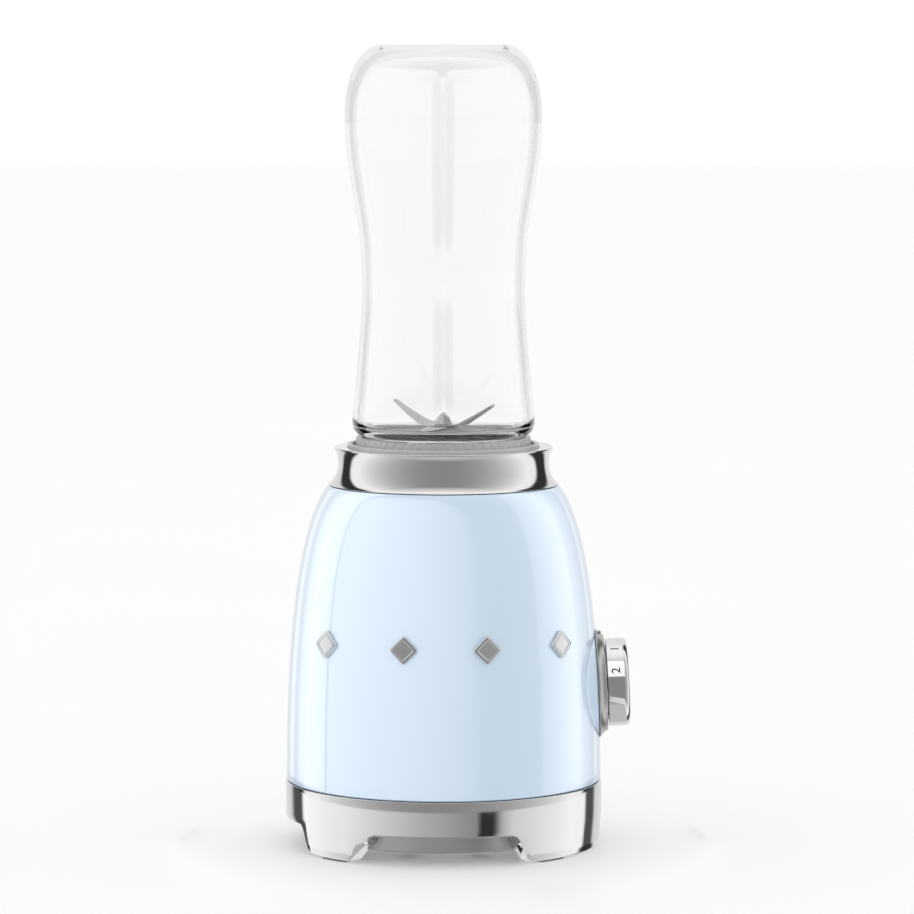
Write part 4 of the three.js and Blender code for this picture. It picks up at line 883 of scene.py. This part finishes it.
slot_of = {s["node"]: s["material_slot"] for s in frame["record"]["subparts"]}
for name, node in frame["nodes"].items():
    node.data.materials.clear()
    node.data.materials.append(materials[slot_of[name]])


def piece(obj, body, *nodes, slot=None):
    slot = slot or slot_of[nodes[0]]
    return dress(obj, body, slot, materials[slot], *nodes)


piece(housing(), "base", "housing_shell")
piece(collar(), "base", "collar_ring")
piece(skirt(), "base", "skirt_ring")
piece(drum(), "base", "base_plate")
piece(seat_cup(), "base", "bottle_seat")
for number, corner_azimuth in enumerate(CORNERS, 1):
    piece(leg_pad(number, corner_azimuth), "base", f"leg_pad_{number}")
for number, stud_offset in enumerate(STUD_OFFSETS, 1):
    piece(trim_stud(number, stud_offset), "base", f"trim_stud_{number}")
piece(dial_bezel(), "base", "knob_bezel")
piece(dial_knob(), "knob", "knob")
for digit, turn in DIGITS.items():
    ink = dial_digit(digit, turn)
    dress(ink, "knob", "plastic_dark", materials["plastic_dark"])
piece(blade_cup(), "blade_unit", "blade_holder")
piece(blade_plan("blade_high", **UPPER_BLADE), "blades", "upper_blade")
piece(blade_plan("blade_low", **LOWER_BLADE), "blades", "lower_blade")
piece(hex_nut(), "blades", "blade_nut")
piece(spindle(), "blades", "blade_spindle")
piece(bottle(), "bottle", "bottle")

# ------------------------------------------------------------------ floor, light and camera


def floor():
    mesh = bpy.data.meshes.new("floor")
    half = 12.0
    mesh.from_pydata([(x, y, 0) for x, y in rectangle(-half, half, -half, half)], [],
                     [(0, 1, 2, 3)])
    obj = add_object("floor", mesh)
    f = Finish("floor_white", (0.93, 0.93, 0.93), 0.6)
    f.vary("Roughness", f.noise(3), 0.55, 0.65)
    mesh.materials.append(f.material)
    obj.visible_glossy = False


def ramp(tree, factor, stops):
    """A colour ramp over azimuth: stops are (degrees from the front, brightness)."""
    node = tree.nodes.new("ShaderNodeValToRGB")
    tree.links.new(factor, node.inputs["Fac"])
    elements = node.color_ramp.elements
    while len(elements) < len(stops):
        elements.new(0.5)
    for element, (degrees, value) in zip(elements, stops):
        element.position = (degrees + 180) / 360
        element.color = (value, value, value, 1)
    return node.outputs["Color"]


def blend(tree, factor, first, second):
    """Mixes two colours, each a socket or a grey value."""
    node = tree.nodes.new("ShaderNodeMix")
    node.data_type = "RGBA"
    tree.links.new(factor, node.inputs["Factor"])
    for socket, value in (("A", first), ("B", second)):
        if isinstance(value, float):
            node.inputs[socket].default_value = (value, value, value, 1)
        else:
            tree.links.new(value, node.inputs[socket])
    return node.outputs["Result"]


def step(tree, value, low, high):
    """0 below low, 1 above high."""
    node = tree.nodes.new("ShaderNodeMapRange")
    node.inputs["From Min"].default_value = low
    node.inputs["From Max"].default_value = high
    tree.links.new(value, node.inputs["Value"])
    return node.outputs["Result"]


def azimuth_factor(tree, parts):
    """0 to 1 for azimuths from -180 to 180 degrees, 0.5 being the front."""
    behind = tree.nodes.new("ShaderNodeMath")
    behind.operation = "MULTIPLY"
    behind.inputs[1].default_value = -1
    tree.links.new(parts.outputs["Y"], behind.inputs[0])
    azimuth = tree.nodes.new("ShaderNodeMath")
    azimuth.operation = "ARCTAN2"
    tree.links.new(parts.outputs["X"], azimuth.inputs[0])
    tree.links.new(behind.outputs[0], azimuth.inputs[1])
    return step(tree, azimuth.outputs[0], -math.pi, math.pi)


DARK, BLACK = 0.09, 0.035                # how bright the two kinds of dark flag are
WALL = {"front": 0.29, "rise": 0.76, "side": 105, "power": 2.2, "step": 15}
SIDE_WALLS = ((-180, 0.9), (-146, 0.8), (-119, 1.05), (119, 1.0), (150, 0.85))
WALL_FLAGS = ((-140, -124, BLACK), (124, 143, BLACK))
FOOT_SHOWS = ((-90, 0.9), (-74, 0.75), (-61, 1.18), (-35, 0.93), (-7, 0.5), (12, 0.3), (21.5, 0.5),
              (26, 0.75), (53, 1.1), (62, 1.1), (73, 0.75), (87, 0.8))
FOOT_FLAGS = ((-69.5, -63, DARK), (13.5, 18.5, BLACK), (64, 70, DARK))
FLOOR_GLOW, CEILING_GLOW, SOFT_GLOW, WALL_GLOW = 0.6, 1.1, 1.1, 0.85
LOW_RING = {"radius": 0.12, "low": -0.016, "high": 0.0205, "sides": 180}


def bands(stops, flags):
    """A wall's stops with dark flags set in between, each from one azimuth to another."""
    edges = [(azimuth, value) for start, end, value in flags for azimuth in (start, end)]
    return sorted([*stops, *edges])


def wall_bands():
    """The room by azimuth: its front wall grows brighter towards the sides."""
    side = WALL["side"]
    front = [(azimuth, WALL["front"] + WALL["rise"] * abs(azimuth / side) ** WALL["power"])
             for azimuth in range(-side, side + 1, WALL["step"])]
    return bands([*SIDE_WALLS, *front], WALL_FLAGS)


def mirrored_azimuth(azimuth):
    """Where a level ray from the front, mirrored at an azimuth of the foot ring, meets the low ring."""
    a = math.radians(azimuth)
    mirror, ring = SKIRT["radius"] * MM, LOW_RING["radius"]
    start = Vector((math.sin(a), math.cos(a))) * mirror
    direction = Vector((math.sin(2 * a), math.cos(2 * a)))
    along = start.dot(direction)
    end = start + direction * (math.sqrt(along ** 2 - mirror ** 2 + ring ** 2) - along)
    return math.degrees(math.atan2(end.x, end.y))


def low_bands():
    """The low ring by azimuth, from what the foot ring shows at its own azimuths."""
    shown = bands(FOOT_SHOWS, FOOT_FLAGS)
    return [(-180, FOOT_SHOWS[0][1])] + [(mirrored_azimuth(at), value) for at, value in shown]


def studio():
    """A white room: what polished surfaces mirror is banded, what lights the rest is even."""
    world = bpy.data.worlds.new("studio")
    bpy.context.scene.world = world
    world.use_nodes = True
    world.cycles.sampling_method = "NONE"
    tree = world.node_tree
    nodes, link = tree.nodes, tree.links.new
    nodes.clear()
    direction = nodes.new("ShaderNodeTexCoord").outputs["Generated"]
    parts = nodes.new("ShaderNodeSeparateXYZ")
    link(direction, parts.inputs[0])
    turn = azimuth_factor(tree, parts)
    sine = parts.outputs["Z"]
    mirrored = ramp(tree, turn, wall_bands())
    mirrored = blend(tree, step(tree, sine, 0.80, 1.0), mirrored, CEILING_GLOW)
    mirrored = blend(tree, step(tree, sine, -0.70, -0.85), mirrored, FLOOR_GLOW)
    path = nodes.new("ShaderNodeLightPath")
    after_mirror = step(tree, path.outputs["Glossy Depth"], 0.4, 0.6)
    after_diffuse = step(tree, path.outputs["Diffuse Depth"], 0.4, 0.6)
    through_wall = step(tree, path.outputs["Transmission Depth"], 0.4, 2.2)
    mirrored = blend(tree, through_wall, mirrored, WALL_GLOW)
    color = blend(tree, after_mirror, 1.0, mirrored)
    color = blend(tree, after_diffuse, color, SOFT_GLOW)
    light = nodes.new("ShaderNodeBackground")
    link(color, light.inputs["Color"])
    link(light.outputs[0], nodes.new("ShaderNodeOutputWorld").inputs["Surface"])


def low_ring():
    """A banded ring round the feet, seen by mirrors only: it is what the foot ring reflects."""
    radius, low, high, sides = [LOW_RING[key] for key in ("radius", "low", "high", "sides")]
    bm = bmesh.new()
    rows = [[bm.verts.new(around(360 * k / sides, radius, z)) for k in range(sides)]
            for z in (low, high)]
    for k in range(sides):
        n = (k + 1) % sides
        bm.faces.new((rows[0][k], rows[0][n], rows[1][n], rows[1][k]))
    mesh = bpy.data.meshes.new("low_ring")
    bm.to_mesh(mesh)
    bm.free()
    obj = add_object("low_ring", mesh)
    obj.location.x = AXIS_X * MM
    material = bpy.data.materials.new("low_ring_glow")
    material.use_nodes = True
    tree = material.node_tree
    tree.nodes.clear()
    parts = tree.nodes.new("ShaderNodeSeparateXYZ")
    tree.links.new(tree.nodes.new("ShaderNodeTexCoord").outputs["Object"], parts.inputs[0])
    glow = tree.nodes.new("ShaderNodeEmission")
    tree.links.new(ramp(tree, azimuth_factor(tree, parts), low_bands()), glow.inputs["Color"])
    output = tree.nodes.new("ShaderNodeOutputMaterial")
    tree.links.new(glow.outputs[0], output.inputs["Surface"])
    mesh.materials.append(material)
    for ray in ("camera", "diffuse", "transmission", "shadow"):
        setattr(obj, f"visible_{ray}", False)


def gloss_panel(name, centre, target, size, glow, stops, receivers):
    """A softbox that only the given pieces mirror; its brightness changes across its width."""
    data = bpy.data.lights.new(name, "AREA")
    data.shape = "RECTANGLE"
    data.size, data.size_y = size
    data.energy = glow * math.pi * size[0] * size[1]
    data.use_nodes = True
    tree = data.node_tree
    surface = tree.nodes.new("ShaderNodeNewGeometry")
    parts = tree.nodes.new("ShaderNodeSeparateXYZ")
    tree.links.new(surface.outputs["Parametric"], parts.inputs[0])
    across = ramp(tree, parts.outputs["X"], [(360 * at - 180, value) for at, value in stops])
    tree.links.new(across, tree.nodes["Emission"].inputs["Color"])
    obj = add_object(name, data)
    obj.location = Vector(centre) + Vector((AXIS_X * MM, 0, 0))
    aim = Vector(target) - Vector(centre)
    obj.rotation_euler = aim.to_track_quat("-Z", "Y").to_euler()
    obj.visible_diffuse = False
    obj.visible_transmission = False
    obj.visible_camera = False
    obj.light_linking.receiver_collection = receivers


CAMERA = {"lens": 180, "beside": 0.0061, "distance": 2.05, "height": 0.358, "aim": 0.175}


def camera():
    data = bpy.data.cameras.new("camera")
    data.sensor_width = 36
    data.lens = CAMERA["lens"]
    data.clip_end = 50
    obj = add_object("camera", data)
    obj.location = (AXIS_X * MM + CAMERA["beside"], -CAMERA["distance"], CAMERA["height"])
    aim = Vector((obj.location.x, 0, CAMERA["aim"]))
    obj.rotation_euler = (aim - obj.location).to_track_quat("-Z", "Y").to_euler()
    bpy.context.scene.camera = obj


def mirrors(name, *pieces):
    group = bpy.data.collections.new(name)
    for each in pieces:
        group.objects.link(bpy.data.objects[each])
    return group


coated_pieces = mirrors("coated_pieces", "housing_body")
knob_pieces = mirrors("knob_pieces", "dial_knob")
BODY_MIDDLE = (0, 0, 0.35)
KNOB_MIDDLE = (0.079, 0, 0.073)
floor()
studio()
low_ring()
gloss_panel("panel_front", around(-32, 1, 0.35), BODY_MIDDLE, (3.6, 3.0), 2.3,
            [(0, 0.9), (0.3, 1), (0.5, 0.84), (0.67, 0.54), (0.82, 0.36), (1, 0)], coated_pieces)
gloss_panel("strip_left", around(-122, 1, 0.35), BODY_MIDDLE, (1.04, 3.0), 2.4,
            [(0, 0.25), (0.3, 0.35), (0.45, 0.85), (1, 1)], coated_pieces)
gloss_panel("strip_right", around(112, 1, 0.35), BODY_MIDDLE, (1.5, 3.0), 1.7,
            [(0, 0.5), (0.4, 1), (0.6, 0.9), (0.85, 0.4), (1, 0.3)], coated_pieces)
gloss_panel("panel_knob", (0.079, -0.7, 0.70), KNOB_MIDDLE, (1.2, 0.72), 0.9,
            [(0, 1), (1, 1)], knob_pieces)
camera()
bpy.context.scene.view_settings.view_transform = "Standard"
bpy.context.scene.cycles.use_denoising = True
